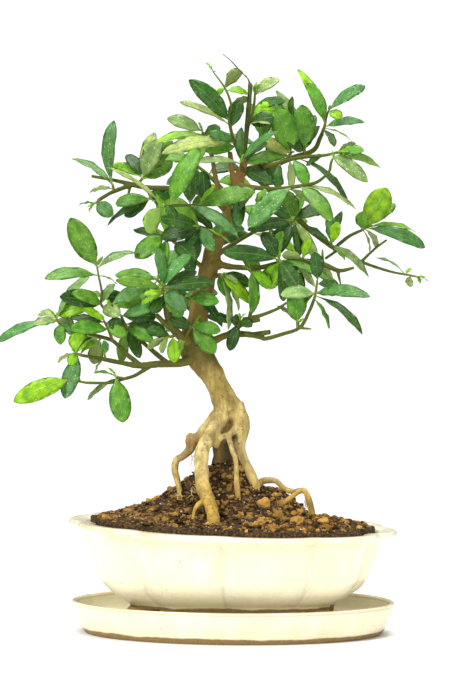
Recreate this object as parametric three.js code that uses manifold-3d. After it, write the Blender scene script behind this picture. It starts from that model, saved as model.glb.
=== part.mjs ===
// A bonsai tree in a glazed pot on its saucer. Millimetres, +Z up.
// The origin is the centre of the saucer's flat underside, and the pot's long axis is X.
import * as THREE from 'three';
import { mergeVertices } from 'three/addons/utils/BufferGeometryUtils.js';
import Module from 'manifold-3d';

const wasm = await Module();
wasm.setup();

// ---- Driving dimensions ----
const TURN_SEGMENTS = 40;            // steps round the pot, the saucer and the soil
const LOBES = 10;                    // petals round the pot's wall
const CREASE = 0.05;                 // how far each crease between two lobes cuts in
const CREASE_SHARPNESS = 1.6;
const RIM_DEPTH_RATIO = 0.8;         // depth over length at the lip
const DEPTH_RATIO_FALL = 0.0044;     // how that ratio falls per mm towards the foot
const BASE_SQUARENESS = 1.2;         // the pot's plan is squarer at its foot than at its lip
const RIM_SLOPE = 0.032;             // the hand-made rim sinks this much per mm towards +X
const LIP_HALF = 110;                // half the pot's length at the lip
const POT_UNDERSIDE = 19;
const POT_FLOOR = 28;
const POT_RIM = 73;
const FOOT = { x: 59, y: 27, length: 16, depth: 12, taper: 0.85, overlap: 1 };
const DRAIN = { x: 35, radius: 7 };
const SCREEN = { size: 22, thickness: 0.8, holes: 2, rib: 2 };
const SAUCER_BASE_HALF = 99;
const SAUCER_DEPTH_RATIO = 0.627;
const SAUCER_FLOOR = 10;
const SAUCER_RIM = 21.5;
const SURFACE = { edge: 73, crown: 8, length: 100, depth: 80 };
const MOUND = { x: -3, y: 4, height: 33, left: 42, right: 24, depth: 26 };
// A lower ridge on the right, where one root crawls along the soil.
const RIDGE = { x: 33, y: -3, height: 13, length: 15, depth: 16 };
const CRUMBS = { height: 0.7, alongX: 4.1, alongY: 3.7 };
const TREE_TURN = 6;                 // degrees that the tree's front is turned about the pot
const EYE_AWAY = 2000;               // the tree is drawn as an eye sees it from its front
const EYE_HEIGHT = 278;
const TRUNK_X = -10;                 // where the trunk stands, for the lean of the limbs
const GAP = 0.3;                     // clearance between neighbours that touch

// ---- Materials ----
const COLOURS = {
  glaze: { color: 0xf1ead0, roughness: 0.25, metalness: 0 },
  mesh: { color: 0x2c2c2a, roughness: 0.6, metalness: 0 },
  soil: { color: 0x3a2a1e, roughness: 0.95, metalness: 0 },
  grain: { color: 0xa9692f, roughness: 0.95, metalness: 0 },
  bark: { color: 0xb59a63, roughness: 0.85, metalness: 0 },
  twig: { color: 0x6b6440, roughness: 0.8, metalness: 0 },
  leaf: { color: 0x4c8a35, roughness: 0.4, metalness: 0 },
};

const TRUNK_TUBES = [
  [
    [-2, 0, 149, 9.5], [-7, 0, 160, 8], [-12, 1, 170, 7.8], [-19, 2, 181, 9], [-25, 2, 191, 10.5],
    [-25, 2, 201, 8.6], [-22.5, 2, 212, 6.6], [-21.5, 2, 223, 6.4], [-18, 2, 235, 6.2],
    [-15, 2, 247, 6], [-12, 2, 259, 5.8], [-8, 2, 269, 5], [-3, 2, 279, 4.6], [1, 2, 291, 4.4],
    [4, 2, 302, 4.2], [6, 2, 311, 3.2],
  ],
  [
    [-12, 0, 259, 4], [-17, -3, 266, 3.2],
  ],
  [
    [-11, 0, 247, 4], [-7, -1, 245.5, 3],
  ],
  [
    [5, 2, 306, 3], [9, 1, 316, 2.3], [14, 0, 321, 2],
  ],
  [
    [5, 3, 302, 3], [7, 4, 314, 2.4], [9, 4, 330, 1.9], [12, 4, 367, 1.8],
  ],
  [
    [11.7, 4, 364, 1], [10.5, 3.5, 370, 0.8], [5, 2, 375.6, 0.7], [-2, 1, 383, 0.65],
    [-10, 0, 389.5, 0.5],
  ],
  [
    [3, 2, 296, 3], [0.5, -2, 303, 2], [-1.7, -3, 322, 1.8],
  ],
  [
    [-2, 3, 281, 3], [-8, 5, 293, 2.2], [-11, 5, 304, 1.8], [-14.5, 5, 323, 1.7],
  ],
  [
    [-5, -2, 152, 7], [-9, -5, 142, 5.6], [-14, -9, 133.5, 5], [-19, -14, 125, 4.7],
    [-20.5, -19, 115.5, 4.6], [-20.5, -24, 106, 4.6], [-19, -30, 95.5, 4.9], [-15.5, -37, 86.5, 4.6],
    [-13, -43, 79, 4.1], [-12.5, -46, 69, 4.2],
  ],
  [
    [-16.5, -36, 88.5, 2.4], [-21.5, -40, 87, 2], [-25.5, -43, 82, 1.6], [-27, -45, 72.5, 1.2],
  ],
  [
    [1, 0, 152, 7], [5, -1, 143, 6.2], [5.2, -1, 134, 5.6], [4.5, -1, 126, 4.4], [7.5, -3, 117, 3.2],
    [11.5, -5, 108.5, 3.2], [14.5, -7, 101, 3.4], [18, -9.5, 90, 3.2],
  ],
  [
    [3, -3, 137, 3], [-0.5, -7, 134, 2.4], [-2.3, -9, 131, 1.9], [-0.5, -12, 123, 1.8],
    [2, -15, 116, 1.8], [2.6, -17, 106.5, 1.8], [3, -19, 97.5, 2], [4.5, -22, 86, 2],
  ],
  [
    [-1.8, -8, 133, 2], [-6.5, -10, 131.5, 2], [-9.5, -11, 128, 1.9], [-11.2, -12, 123.5, 1.8],
  ],
  [
    [-8, 2, 148, 5], [-14, 2, 142, 3.8], [-19, 1, 136, 3.6], [-23, 0, 130, 3.6], [-27.5, 0, 128.8, 4.4],
    [-28, -1, 124, 3.4], [-32, -2, 119, 2.9], [-37.5, -3, 115.5, 2.5], [-38.5, -5, 109, 2.4],
    [-37, -8, 102, 2.2], [-35, -11, 93, 1.9], [-35, -13, 84.5, 1.6],
  ],
  [
    [-27, 0, 131, 3.6], [-30.5, -1, 129.5, 2.6],
  ],
  [
    [-4, 4, 148, 5], [-8, 12, 135, 4.6], [-9, 20, 121.5, 4.2], [-10, 29, 106.5, 4], [-11, 35, 95, 3.5],
  ],
  [
    [5, 3, 140, 4], [5, 12, 127, 3.6], [3, 22, 114, 3.4], [3, 31, 99, 3],
  ],
  [
    [0, 6, 141, 5], [-4, 10, 129, 6], [-6, 12, 117, 7], [-6, 14, 105, 8], [-6, 15, 93, 8],
  ],
  [
    [14, -6.5, 100, 2.8], [17, -3, 98.5, 2.5], [20.5, 0, 101.8, 2.2], [29, -2, 101.5, 2],
    [34, -5, 97, 1.9], [40, -11, 94.5, 1.8], [45.5, -18, 95.5, 1.8],
  ],
  [
    [31.5, -19, 84, 1.4], [34.5, -19, 87, 1.7], [40.5, -20, 91.5, 1.9], [47.5, -21, 95.5, 1.9],
    [51, -22, 89, 2.2], [53.5, -23, 78.5, 2.2],
  ],
];

const BRANCHES = {
  branch_left_low: {
    swing: -25,
    tubes: [
      [
        [-23, 4, 186.5, 4], [-31, 0, 182, 3], [-40, -3, 180.3, 2.6], [-50, -6, 180, 2.2],
        [-62, -8, 179, 2], [-70, -9, 180, 1.5], [-80, -11, 182, 1.4], [-90, -12, 184, 1.2],
        [-102, -14, 186, 0.9],
      ],
      [
        [-61, -8, 179, 1.6], [-70, -6, 186, 1.4], [-77, -4, 193, 1.3], [-82, -3, 196.5, 1.2],
        [-95, 0, 200, 1.1], [-108, 2, 203, 1], [-116, 3, 207.5, 0.9],
      ],
      [
        [-55, -7, 179, 1.6], [-60, -10, 175.5, 1.3], [-66, -13, 172, 1.1], [-73, -15, 170, 1],
        [-82, -18, 167.5, 0.9], [-99, -21, 167.5, 0.8],
      ],
      [
        [-43, -4, 180.5, 1.8], [-50, -2, 186, 1.5], [-60, 2, 194.5, 1.3], [-70, 4, 203, 1.2],
        [-80, 2, 212, 1.1], [-87, 0, 218.5, 1],
      ],
      [
        [-60, 2, 194.5, 1.1], [-55, -1, 200, 1], [-53, -3, 203, 0.8],
      ],
    ],
  },
  branch_left_stub: {
    swing: -45,
    tubes: [
      [
        [-27, 6, 193, 3.4], [-36, -1, 200, 2.8], [-41, -6, 206, 2.6], [-43.5, -7, 215, 2.4],
        [-45.5, -8, 226, 2.3],
      ],
      [
        [-40, -5.5, 204, 2], [-45, -7, 207, 1.7], [-51, -8, 213, 1.5],
      ],
    ],
  },
  branch_upper_left: {
    swing: 35,
    tubes: [
      [
        [-2, 1, 281, 3], [-9, -2, 287, 2], [-16, -4, 292, 1.9], [-27, -6, 296, 1.8],
        [-45, -9, 297.5, 1.6], [-58, -11, 298, 1.5], [-67, -12, 300, 1.5], [-80, -14, 303, 1.1],
        [-94, -16, 305.5, 0.9],
      ],
      [
        [-66, -12, 300, 1.4], [-80, -15, 295, 1.2], [-90, -17, 289, 1],
      ],
      [
        [-68, -12, 300, 1], [-70, -14, 291, 0.6],
      ],
    ],
  },
  branch_right_low: {
    swing: -45,
    tubes: [
      [
        [-22, 1, 192, 4], [-13, -1, 195.5, 2.8], [-5, -2, 199, 2.2], [2, -2, 200, 2.1],
        [10, -3, 200, 1.9], [18, -4, 198.5, 1.7], [22, -5, 197, 1.3], [33, -7, 200, 1.2],
        [45, -10, 204.5, 1.1], [51.5, -12, 216, 1], [55, -13, 225, 0.9],
      ],
      [
        [13, -3, 199.5, 1.8], [25, -4, 201.5, 1.5],
      ],
      [
        [44, -10, 204.3, 0.9], [52.5, -12, 203.5, 0.5],
      ],
      [
        [-3, -2, 200, 1.8], [4, -5, 205, 1.5], [12, -8, 210.5, 1.3], [20, -9, 213, 1.1],
        [30, -11, 217, 1], [36, -12, 221, 0.8],
      ],
      [
        [11, -8, 210, 1.2], [13.5, -7, 222, 1], [14.5, -5, 240, 0.9],
      ],
      [
        [5, -6, 206, 1.2], [11, -7, 208, 1.2], [18, -8, 209.5, 1.1],
      ],
    ],
  },
  branch_right_mid: {
    swing: -20,
    tubes: [
      [
        [-14, 0, 248, 3.4], [-8, -2, 246.5, 2.3], [0, -3, 245, 1.9], [18, -7, 244.5, 1.6],
        [33, -10, 248, 1.5], [47, -13, 249, 1.5], [60, -15, 247, 1.7], [71, -16, 242.5, 1.3],
        [81, -17, 244.5, 0.8],
      ],
      [
        [70, -16, 242.8, 1.1], [72.5, -18, 232, 0.4],
      ],
      [
        [60, -15, 248, 1.2], [60, -17, 257, 0.4],
      ],
    ],
  },
  branch_right_diagonal: {
    swing: 35,
    tubes: [
      [
        [4, 0, 307, 3], [12, -3, 307.5, 2.1], [25, -5, 296, 1.9], [38, -8, 283, 1.8],
        [50, -10, 271, 1.7], [62.5, -12, 261, 1.5], [71, -13, 255.5, 1.2], [87, -15, 248, 1],
        [105, -17, 242, 0.8], [115, -18, 240, 0.7],
      ],
      [
        [86, -15, 248.4, 0.9], [95, -12, 257, 0.8], [103, -10, 263, 0.7],
      ],
      [
        [68, -13, 257.5, 1.2], [78, -16, 265.5, 1], [87, -18, 269.7, 0.9],
      ],
      [
        [70, -13, 256, 1], [62, -14, 250.5, 0.8],
      ],
    ],
  },
  branch_upper_right: {
    swing: 25,
    tubes: [
      [
        [5, 3, 306, 3], [12, 5, 310.5, 2], [22, 7, 312, 1.8], [31, 9, 314, 1.7], [42, 12, 318.5, 1.6],
        [52, 13, 321.5, 1.6], [56, 13, 325, 1.5], [58, 13, 330, 1.4], [60, 12, 334, 1.2],
      ],
    ],
  },
};

const SHOOTS = {
  shoot_far_left: {
    swing: -25,
    stem: [
      [-115.5, 3, 207, 1], [-117.5, 3, 210, 0.8],
    ],
    leaves: [
      [1, -96, 6, 239, 10, 58], [1, -130, 14, 213, 9, 60], [0.8, -133, -4, 206, 10, 55],
      [0.5, -157, -4, 195, 11, 62], [1, -106, 4, 204.5, 9, 40], [0, -115, -7, 193, 8, 0],
      [0, -105, -3, 199, 6, 25],
    ],
  },
  shoot_left_bright: {
    swing: -25,
    stem: [
      [-101, -14, 186, 1], [-104.5, -15, 187, 0.8],
    ],
    leaves: [
      [1, -102, -9, 202, 13, 10], [1, -94, -18, 197.5, 8, 78], [1, -109, -19, 179.5, 7, 20],
      [0.3, -90, -10, 196, 6, 50], [1, -117, -8, 181, 6, 72], [0.6, -112, -27, 157, 12, 15],
    ],
  },
  shoot_left_hanging: {
    swing: -25,
    stem: [
      [-88, -1, 198, 1], [-89, -5, 196, 0.7],
    ],
    leaves: [
      [1, -93, -4, 180, 11, 160], [0.5, -108, 10, 196, 8, 140],
    ],
  },
  shoot_left_low_bright: {
    swing: -25,
    stem: [
      [-98, -21, 167.5, 0.8], [-109, -22, 169.5, 0.7],
    ],
    leaves: [
      [1, -146.5, -29, 155, 13, 15], [0.3, -112, -14, 176, 6, 70],
    ],
  },
  shoot_left_mid: {
    swing: -25,
    stem: [
      [-80, -4, 195, 1.1], [-83, -8, 203, 0.9], [-86, -11, 209, 0.8],
    ],
    leaves: [
      [0.55, -109, -19, 203.5, 10, 30], [0.9, -109, -6, 211, 8, 45], [1, -101, -14, 216.5, 8, 50],
      [0.75, -71, -17, 199, 9, 20], [0.9, -72, -10, 205, 9, 20],
    ],
  },
  shoot_left_rosette: {
    swing: -25,
    stem: [
      [-86.5, 0, 218, 1], [-88, -4, 221, 0.8], [-87.5, -5, 229, 0.8], [-89.5, -6, 239, 0.7],
      [-90.5, -6, 245, 0.6],
    ],
    leaves: [
      [0.1, -115.5, -9, 225, 12, 20], [0.13, -108, -21, 227, 10, 35], [0.3, -96, 6, 227, 7, 50],
      [0.15, -78.5, -10, 233.5, 7, 40], [0.06, -75, -18, 212.5, 10, 15], [1, -108.5, -10, 277.5, 15, 0],
      [0.8, -125.5, -14, 237, 11, 48], [0.97, -62.5, 2, 254, 10, 58], [0.35, -70, -2, 222, 11, 25],
      [0.15, -117, 6, 213, 11, 25], [0.8, -77, -9, 233, 6, 80],
    ],
  },
  shoot_left_inner: {
    swing: -25,
    stem: [
      [-69, 4, 202.5, 1.1], [-72, -4, 207, 0.9], [-75, -9, 213, 0.8], [-81, -12, 220, 0.7],
    ],
    leaves: [
      [1, -57.5, -15, 231.5, 10, 25], [0.6, -51.5, -17, 219, 8, 15], [0.25, -53, -17, 194.5, 9, 20],
      [0.35, -45, -9, 203.5, 9, 10], [0.1, -62, -9, 184, 8, 10], [0.05, -74.5, 0, 181, 9, 150],
      [0.6, -51, -6, 212, 11, 20], [0.9, -61, 2, 224, 10, 15],
    ],
  },
  shoot_stub_rosette: {
    swing: -45,
    stem: [
      [-45.4, -8, 225.5, 1.2], [-47, -10, 231, 0.9],
    ],
    leaves: [
      [1, -50.5, -13, 258.5, 9, 35], [1, -28, -18, 253, 10, 35], [0.5, -59, -17, 226, 6, 40],
      [0.9, -78, -7, 236, 9, 30], [0.3, -61, -9, 219.5, 7, 45], [0.1, -54, -12, 214, 9, 15],
      [1, -12.5, -27, 234.5, 11, 25], [0.8, -24, -13, 242, 8, 20], [0.5, -31, -29, 216, 11, 10],
      [0.2, -34, -17, 211, 11, 20],
    ],
  },
  shoot_trunk_front: {
    swing: 0,
    stem: [
      [-32, -6, 196, 1.6], [-30, -15, 201, 1.1], [-26.5, -19, 206, 0.9],
    ],
    leaves: [
      [0.9, -42.5, -24, 210.5, 9, 15], [1, -8, -26, 202, 9, 15], [0.95, -11.5, -26, 187.5, 12, 5],
      [0.4, -38, -16, 185, 7, 150],
    ],
  },
  shoot_trunk_mid: {
    swing: 0,
    stem: [
      [-20, -2, 229, 1.6], [-25, -13, 227, 1.1], [-28, -17, 224, 0.9],
    ],
    leaves: [
      [1, -9, -24, 221.5, 9, 15], [0.6, -7, -16, 205, 8, 40],
    ],
  },
  shoot_stub_side: {
    swing: -45,
    stem: [
      [-39, -6, 199, 1.2], [-43, -10, 198, 0.8],
    ],
    leaves: [
      [1, -57, -8, 190.5, 7, 130], [0.9, -48, -13, 187.5, 6, 140], [0.5, -58, -4, 203, 8, 30],
      [0.3, -39, -8, 181, 9, 10],
    ],
  },
  shoot_left_under: {
    swing: -25,
    stem: [
      [-72, -15, 170.2, 1], [-78, -18, 171.5, 0.7],
    ],
    leaves: [
      [1, -73, -24, 141, 14, 0], [1, -93, -19, 174, 6, 78], [0.5, -97, -8, 156, 6, 60],
    ],
  },
  shoot_left_spur: {
    swing: -25,
    stem: [
      [-85, -11.5, 183, 1], [-85.5, -13, 186, 0.7],
    ],
    leaves: [
      [1, -86, -15, 196, 5, 30], [0.5, -92, -9, 175, 5, 72],
    ],
  },
  shoot_upper_left_tip: {
    swing: 35,
    stem: [
      [-79, -15, 295.3, 1.1], [-80, -16, 300, 0.8],
    ],
    leaves: [
      [1, -79, -18, 342.5, 11, 38], [0.8, -107, -10, 317, 9, 60], [0.3, -95, -6, 295, 6, 60],
    ],
  },
  shoot_upper_left_fork: {
    swing: 35,
    stem: [
      [-88, -17, 290, 1], [-91.5, -18, 287.5, 0.7],
    ],
    leaves: [
      [0.9, -79.5, -22, 279.5, 10, 0], [1, -103, -19, 286, 4, 70], [1, -95.5, -16, 281.5, 3, 60],
    ],
  },
  shoot_upper_left_mid: {
    swing: 35,
    stem: [
      [-64, -12, 299.5, 1.2], [-60, -16, 304, 0.9],
    ],
    leaves: [
      [1, -80, -8, 313, 8, 40], [1, -47, -23, 330, 13, 25], [0.9, -40, -15, 329, 10, 20],
      [1, -52, -2, 334.5, 10, 30], [0.9, -40, -8, 315, 12, 15], [0.9, -70, -6, 320, 9, 20],
    ],
  },
  shoot_upper_left_low: {
    swing: 35,
    stem: [
      [-57, -11, 297.5, 1.2], [-54, -15, 290, 0.9],
    ],
    leaves: [
      [1, -78, -22, 287, 9, 25], [0.9, -77, -8, 285, 8, 120], [0.95, -83.5, -16, 272.5, 9, 60],
      [0.9, -72, -12, 279, 10, 20], [0.3, -42, -8, 289, 10, 20],
    ],
  },
  shoot_young_left: {
    swing: -40,
    stem: [
      [-1, -2, 290, 1.5], [-8, -9, 287.5, 1.2], [-18, -16, 286.3, 1.1], [-30, -22, 286, 1],
      [-40, -27, 286, 1], [-47, -29, 285.5, 0.9],
    ],
    leaves: [
      [1, -83.5, -26, 311.5, 8, 68], [1, -57, -35, 268, 13, 150], [0.95, -38, -34, 276.5, 8, 35],
      [0.9, -22, -43, 324, 14, 20], [0.85, -25.5, -34, 312, 8, 50], [0.6, -27, -26, 316.5, 12, 15],
      [0.5, 15, -33, 295, 12, 22], [0.6, 3, -37, 266, 10, 35], [0.45, -12, -18, 300, 7, 40],
      [0.4, -20, -12, 309, 9, 15],
    ],
  },
  shoot_centre_left: {
    swing: 0,
    stem: [
      [-10, -1, 267, 1.8], [-16, -14, 270, 1.1], [-22, -21, 272, 0.9],
    ],
    leaves: [
      [1, -48.5, -30, 277.5, 10, 20], [0.9, -31, -17, 259, 9, 25], [0.95, -12.5, -30, 255.5, 9, 0],
      [0.5, 8, -25, 270, 8, 30], [0.7, -2, -20, 261, 6, 70], [0.9, -48, -12, 265, 12, 15],
      [1, -42, -14, 291, 10, 20], [0.2, -28, -8, 283, 8, 40],
    ],
  },
  shoot_mid_left: {
    swing: 20,
    stem: [
      [-16, 0, 241, 2], [-26, -6, 250, 1.4], [-38, -13, 261, 1.2], [-45, -17, 266, 1],
    ],
    leaves: [
      [1, -65, -24, 251, 13, 20], [0.8, -24, -29, 249.5, 12, 15], [0.95, -46, -16, 243.5, 8, 20],
      [0.6, -27.5, -10, 240, 9, 20], [0.9, -66, -8, 270, 9, 40], [1, -47, 4, 299, 12, 15],
      [0.3, -22, -12, 267, 7, 20],
    ],
  },
  shoot_top_middle: {
    swing: 0,
    stem: [
      [7, 4, 318, 1.6], [2, -1, 326, 1.2], [-1, -4, 336, 1.1], [-2.5, -5, 345, 0.9], [-1, -4, 353, 0.8],
      [-5, -5, 364, 0.7], [-13, -6, 375, 0.4],
    ],
    leaves: [
      [0.42, -29, -17, 369.5, 12, 20], [0.38, -35, -8, 355, 8, 60], [0.5, -23, 6, 366.5, 8, 120],
      [0.78, -11, 4, 359, 6, 40], [0.8, 7, 12, 374.5, 11, 130], [0.76, 10, 2, 360.5, 7, 45],
      [0.6, 11, 16, 356, 8, 130], [0.2, -47, -27, 320.5, 12, 35], [0.22, -16, -21, 334, 7, 20],
      [0.15, -18, -10, 322, 9, 20], [0.35, 5, 2, 356, 10, 10],
    ],
  },
  shoot_top_left: {
    swing: 0,
    stem: [
      [-14, 5, 318, 1], [-17, -3, 327, 0.9], [-20, -7, 335, 0.8],
    ],
    leaves: [
      [1, -43.5, -10, 344, 10, 30], [0.9, -50.5, -15, 328, 8, 55], [0.9, -8, -15, 337, 9, 30],
      [0.8, -39, 0, 332, 8, 65],
    ],
  },
  shoot_top_right: {
    swing: 0,
    stem: [
      [7, 1, 309, 2], [6, -7, 312, 1.1], [6, -11, 315, 0.8],
    ],
    leaves: [
      [1, 31.5, -20, 335.5, 8, 50], [0.9, 6, -7, 338, 7, 25], [0.8, -24, -24, 315, 8, 55],
      [0.1, 28, -13, 300, 10, 20], [1, 23, -6, 328, 6, 30],
    ],
  },
  shoot_stub_right: {
    swing: 0,
    stem: [
      [9.7, 4, 337, 1.2], [13, 6, 346, 1], [14.5, 8, 354, 0.9], [15, 9, 361, 0.7],
    ],
    leaves: [
      [0.15, 27.5, -4, 344.5, 10, 20], [0.1, 25, -10, 340, 7, 76], [0.5, 27.5, 6, 349, 11, 15],
      [0.6, 35, 10, 355.5, 8, 35], [0.95, 31, 14, 370, 9, 30], [0.9, 22, 24, 366, 9, 40],
    ],
  },
  shoot_upper_right_big: {
    swing: 25,
    stem: [
      [36, 10.5, 316.5, 1.2], [39, 4, 321, 1],
    ],
    leaves: [
      [1, 29, -6, 351, 17, 12], [1, 40, 4, 358.5, 9, 35], [0.9, 16.5, -10, 329.5, 10, 25],
      [0.6, 9, -18, 314, 10, 30],
    ],
  },
  shoot_upper_right_mid: {
    swing: 25,
    stem: [
      [48, 12.5, 320.5, 1.2], [48, 6, 324, 1],
    ],
    leaves: [
      [1, 46, -6, 353, 15, 10], [0.8, 29, 8, 362.5, 12, 42], [0.9, 55, 14, 346, 9, 30],
      [0.5, 36, -2, 329, 8, 20], [0.6, 58, 4, 339, 7, 30],
    ],
  },
  shoot_upper_right_tip: {
    swing: 25,
    stem: [
      [59.6, 12, 333.5, 1.3], [61.5, 12, 339, 1], [62.5, 12, 344, 0.8], [64, 11, 349, 0.7],
    ],
    leaves: [
      [1, 88.5, 8, 365.5, 9, 35], [1, 73, 5, 344, 8, 30], [0.5, 50, 12, 367.5, 10, 20],
      [0.4, 43.5, 20, 376.5, 9, 38], [0.3, 88, 9, 341.5, 8, 42], [0.25, 79, 2, 329.5, 5, 74],
      [0.2, 68, -3, 325, 6, 40],
    ],
  },
  shoot_young_right: {
    swing: -30,
    stem: [
      [21, 5, 312, 1.4], [30, 0, 314, 1.3], [38, -6, 316.5, 1.2], [50, -8, 318.5, 1.2],
      [62, -9, 319.5, 1], [70, -11, 321.5, 0.8],
    ],
    leaves: [
      [1, 87.5, -15, 322.5, 8, 38], [1, 82, 0, 327, 8, 125], [0.95, 98.5, -8, 311, 9, 128],
      [0.9, 90, -17, 301.5, 9, 15], [0.5, 77, -13, 286.5, 9, 60], [0.4, 39, -7, 297.5, 7, 140],
      [0.45, 49.5, -16, 299, 9, 20], [0.25, 31, -3, 296.5, 8, 30], [0.85, 49, -4, 313, 8, 60],
    ],
  },
  shoot_hooked: {
    swing: -45,
    stem: [
      [2, -1, 300, 2], [14, -6, 298, 1.6], [30, -11, 297, 1.4], [42, -14, 298.5, 1.3],
      [51, -14, 300, 1.2], [57, -15, 302, 1.1], [64, -16, 308, 1], [65.5, -16, 314, 0.9],
      [66.5, -16, 317, 0.7],
    ],
    leaves: [
      [0.62, 65.5, -24, 275.5, 12, 25], [0.6, 82, -8, 283.5, 8, 62], [0.55, 10.5, -36, 271.5, 14, 20],
      [0.5, 65, -3, 277, 9, 125], [0.3, 20, -20, 284, 9, 40], [0.2, 5, -26, 284, 9, 30],
      [0.05, 4, -30, 271, 10, 20], [0.45, 42, -12, 279, 11, 15],
    ],
  },
  shoot_diagonal_mid: {
    swing: 35,
    stem: [
      [43, -9, 278, 1.1], [40, -15, 275, 0.9],
    ],
    leaves: [
      [1, 10, -28, 269.5, 9, 25], [0.9, 24, -23, 250, 13, 10], [0.9, 44.5, -22, 252, 8, 30],
      [0.7, 56.5, -25, 247.5, 9, 35], [0.6, 46, -12, 258, 7, 40], [0.5, 61, -4, 284, 11, 40],
      [0.9, 47, -2, 294, 9, 20], [0.8, 24, -6, 285, 8, 30],
    ],
  },
  shoot_diagonal_fork: {
    swing: 35,
    stem: [
      [66, -12.5, 258.5, 1.2], [66, -16, 261, 0.8],
    ],
    leaves: [
      [1, 65.5, -19, 279, 8, 30], [1, 71, -22, 275, 8, 15], [0.8, 67, -6, 281, 8, 125],
      [0.5, 91, -21, 238.5, 9, 52], [0.4, 75, -24, 249.5, 6, 55], [0.5, 47, -8, 272, 8, 60],
      [1, 73, -16, 282, 6, 30],
    ],
  },
  shoot_right_pair: {
    swing: 35,
    stem: [
      [86, -18, 269.3, 1], [89, -18.5, 271, 0.8],
    ],
    leaves: [
      [1, 103, -25, 297.5, 17, 5], [1, 108.5, -14, 287, 10, 30], [0.2, 87, -24, 282, 9, 25],
      [0.9, 128.5, -23, 258, 10, 32], [0.8, 122.5, -8, 268, 6, 60], [0.3, 91.5, -15, 254, 6, 74],
      [0.6, 96, -6, 257, 7, 120],
    ],
  },
  shoot_right_far: {
    swing: 35,
    stem: [
      [114, -18, 240.2, 0.8], [123, -19, 238.5, 0.6],
    ],
    leaves: [
      [0.2, 119.5, -17, 244, 3, 50], [1, 125.5, -20, 234, 4, 50], [0.1, 96, -12, 251, 6, 76],
      [0.6, 118, -12, 232, 6, 30],
    ],
  },
  shoot_right_knot: {
    swing: -45,
    stem: [
      [54.3, -13, 223, 1], [55.5, -13, 228, 0.9], [56.5, -14, 236, 0.7],
    ],
    leaves: [
      [0.3, 32, -23, 226.5, 11, 35], [0.35, 91.5, -20, 225, 10, 35], [0.3, 71, -9, 227, 8, 48],
      [0.2, 86.5, -15, 200, 9, 58], [0.05, 64.5, -19, 203.5, 6, 58], [1, 55, -18, 255, 9, 10],
      [0.4, 47, -4, 216, 9, 60], [0.8, 71, -8, 233, 7, 30],
    ],
  },
  shoot_right_bud: {
    swing: -45,
    stem: [
      [43.5, -10, 204.2, 1], [43.5, -11, 208, 1.2],
    ],
    leaves: [
      [1, 40.5, -17, 229.5, 13, 15], [0.8, 30, -6, 219, 7, 60],
    ],
  },
  shoot_right_mid: {
    swing: -20,
    stem: [
      [32, -10, 248, 1.3], [31, -14, 250, 1],
    ],
    leaves: [
      [1, 46.5, -26, 227, 14, 8], [0.9, -6.5, -26, 254.5, 11, 22], [0.9, 20, -8, 268, 10, 15],
      [0.5, 34, -6, 222, 8, 20], [0.7, 69.5, -24, 232, 9, 50], [0.6, 55, -20, 232, 8, 130],
      [0.5, 22, 0, 230.5, 13, 10], [0.8, 33, -6, 269, 9, 40],
    ],
  },
  shoot_right_outer: {
    swing: -20,
    stem: [
      [46.5, -13, 249, 1.2], [47, -16, 251, 0.9],
    ],
    leaves: [
      [0.8, 33, -16, 252.5, 9, 140], [1, 52, -20, 264, 7, 30], [0.8, 67, -14, 237, 7, 60],
    ],
  },
  shoot_low_hanging: {
    swing: -45,
    stem: [
      [14.3, -5.5, 239, 1.2], [12, -8, 243, 0.8],
    ],
    leaves: [
      [1, 12.5, -13, 213.5, 9, 30], [0.8, 26, -1, 232, 9, 20],
    ],
  },
  shoot_trunk_right: {
    swing: 0,
    stem: [
      [-11, -2, 239, 1.8], [-8, -8, 240, 0.9],
    ],
    leaves: [
      [1, 4, -8, 215.5, 9, 120], [1, 11.5, -13, 220.5, 9, 30], [0.9, 3, -14, 234, 6, 60],
      [0.9, -3, -20, 203, 8, 60], [0.9, 12, -4, 233, 10, 20], [0.5, -3, -12, 225, 8, 15],
    ],
  },
  shoot_low_round: {
    swing: -45,
    stem: [
      [4, -5, 205, 1.5], [5, -9, 209, 1],
    ],
    leaves: [
      [0.9, -0.5, -15, 210, 8, 10], [0.5, -2, -12, 189, 8, 15], [1, 13, -15, 205, 8, 20],
      [0.6, -17, -10, 212, 7, 30],
    ],
  },
  shoot_back_left: {
    swing: 0,
    stem: [
      [-20, 3, 214, 2.4], [-30, 20, 222, 1.6], [-42, 36, 230, 1.3], [-50, 50, 236, 1],
    ],
    leaves: [
      [1, -78, 66, 240, 12, 40], [1, -62, 76, 214, 12, 30], [0.9, -38, 72, 256, 12, 30],
      [0.7, -66, 34, 222, 11, 50], [0.7, -24, 52, 214, 11, 40], [0.4, -44, 34, 202, 11, 30],
      [0.45, -10, 40, 228, 11, 40], [0.9, -44, 78, 222, 12, 60],
    ],
  },
  shoot_back_right: {
    swing: 0,
    stem: [
      [-13, 3, 251, 2.2], [0, 22, 260, 1.6], [14, 40, 268, 1.3], [24, 54, 272, 1],
    ],
    leaves: [
      [1, 50, 72, 276, 12, 40], [1, 30, 80, 252, 12, 30], [0.9, 10, 76, 286, 12, 30],
      [0.7, 44, 40, 254, 11, 50], [0.7, -10, 56, 262, 11, 40], [0.4, 18, 34, 238, 11, 30],
      [0.5, -16, 40, 282, 11, 40], [0.85, 36, 46, 292, 12, 60],
    ],
  },
  shoot_back_upper: {
    swing: 0,
    stem: [
      [0, 4, 286, 2.2], [-8, 20, 298, 1.6], [-18, 36, 308, 1.2], [-26, 46, 314, 1],
    ],
    leaves: [
      [1, -52, 58, 320, 12, 40], [1, -34, 70, 296, 12, 30], [0.9, -16, 60, 336, 12, 30],
      [0.7, -44, 28, 300, 11, 50], [0.7, 4, 50, 312, 11, 40], [0.4, -26, 34, 280, 11, 30],
      [0.5, 12, 36, 300, 11, 40], [0.95, -40, 44, 334, 11, 60],
    ],
  },
  shoot_back_high: {
    swing: 0,
    stem: [
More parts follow.
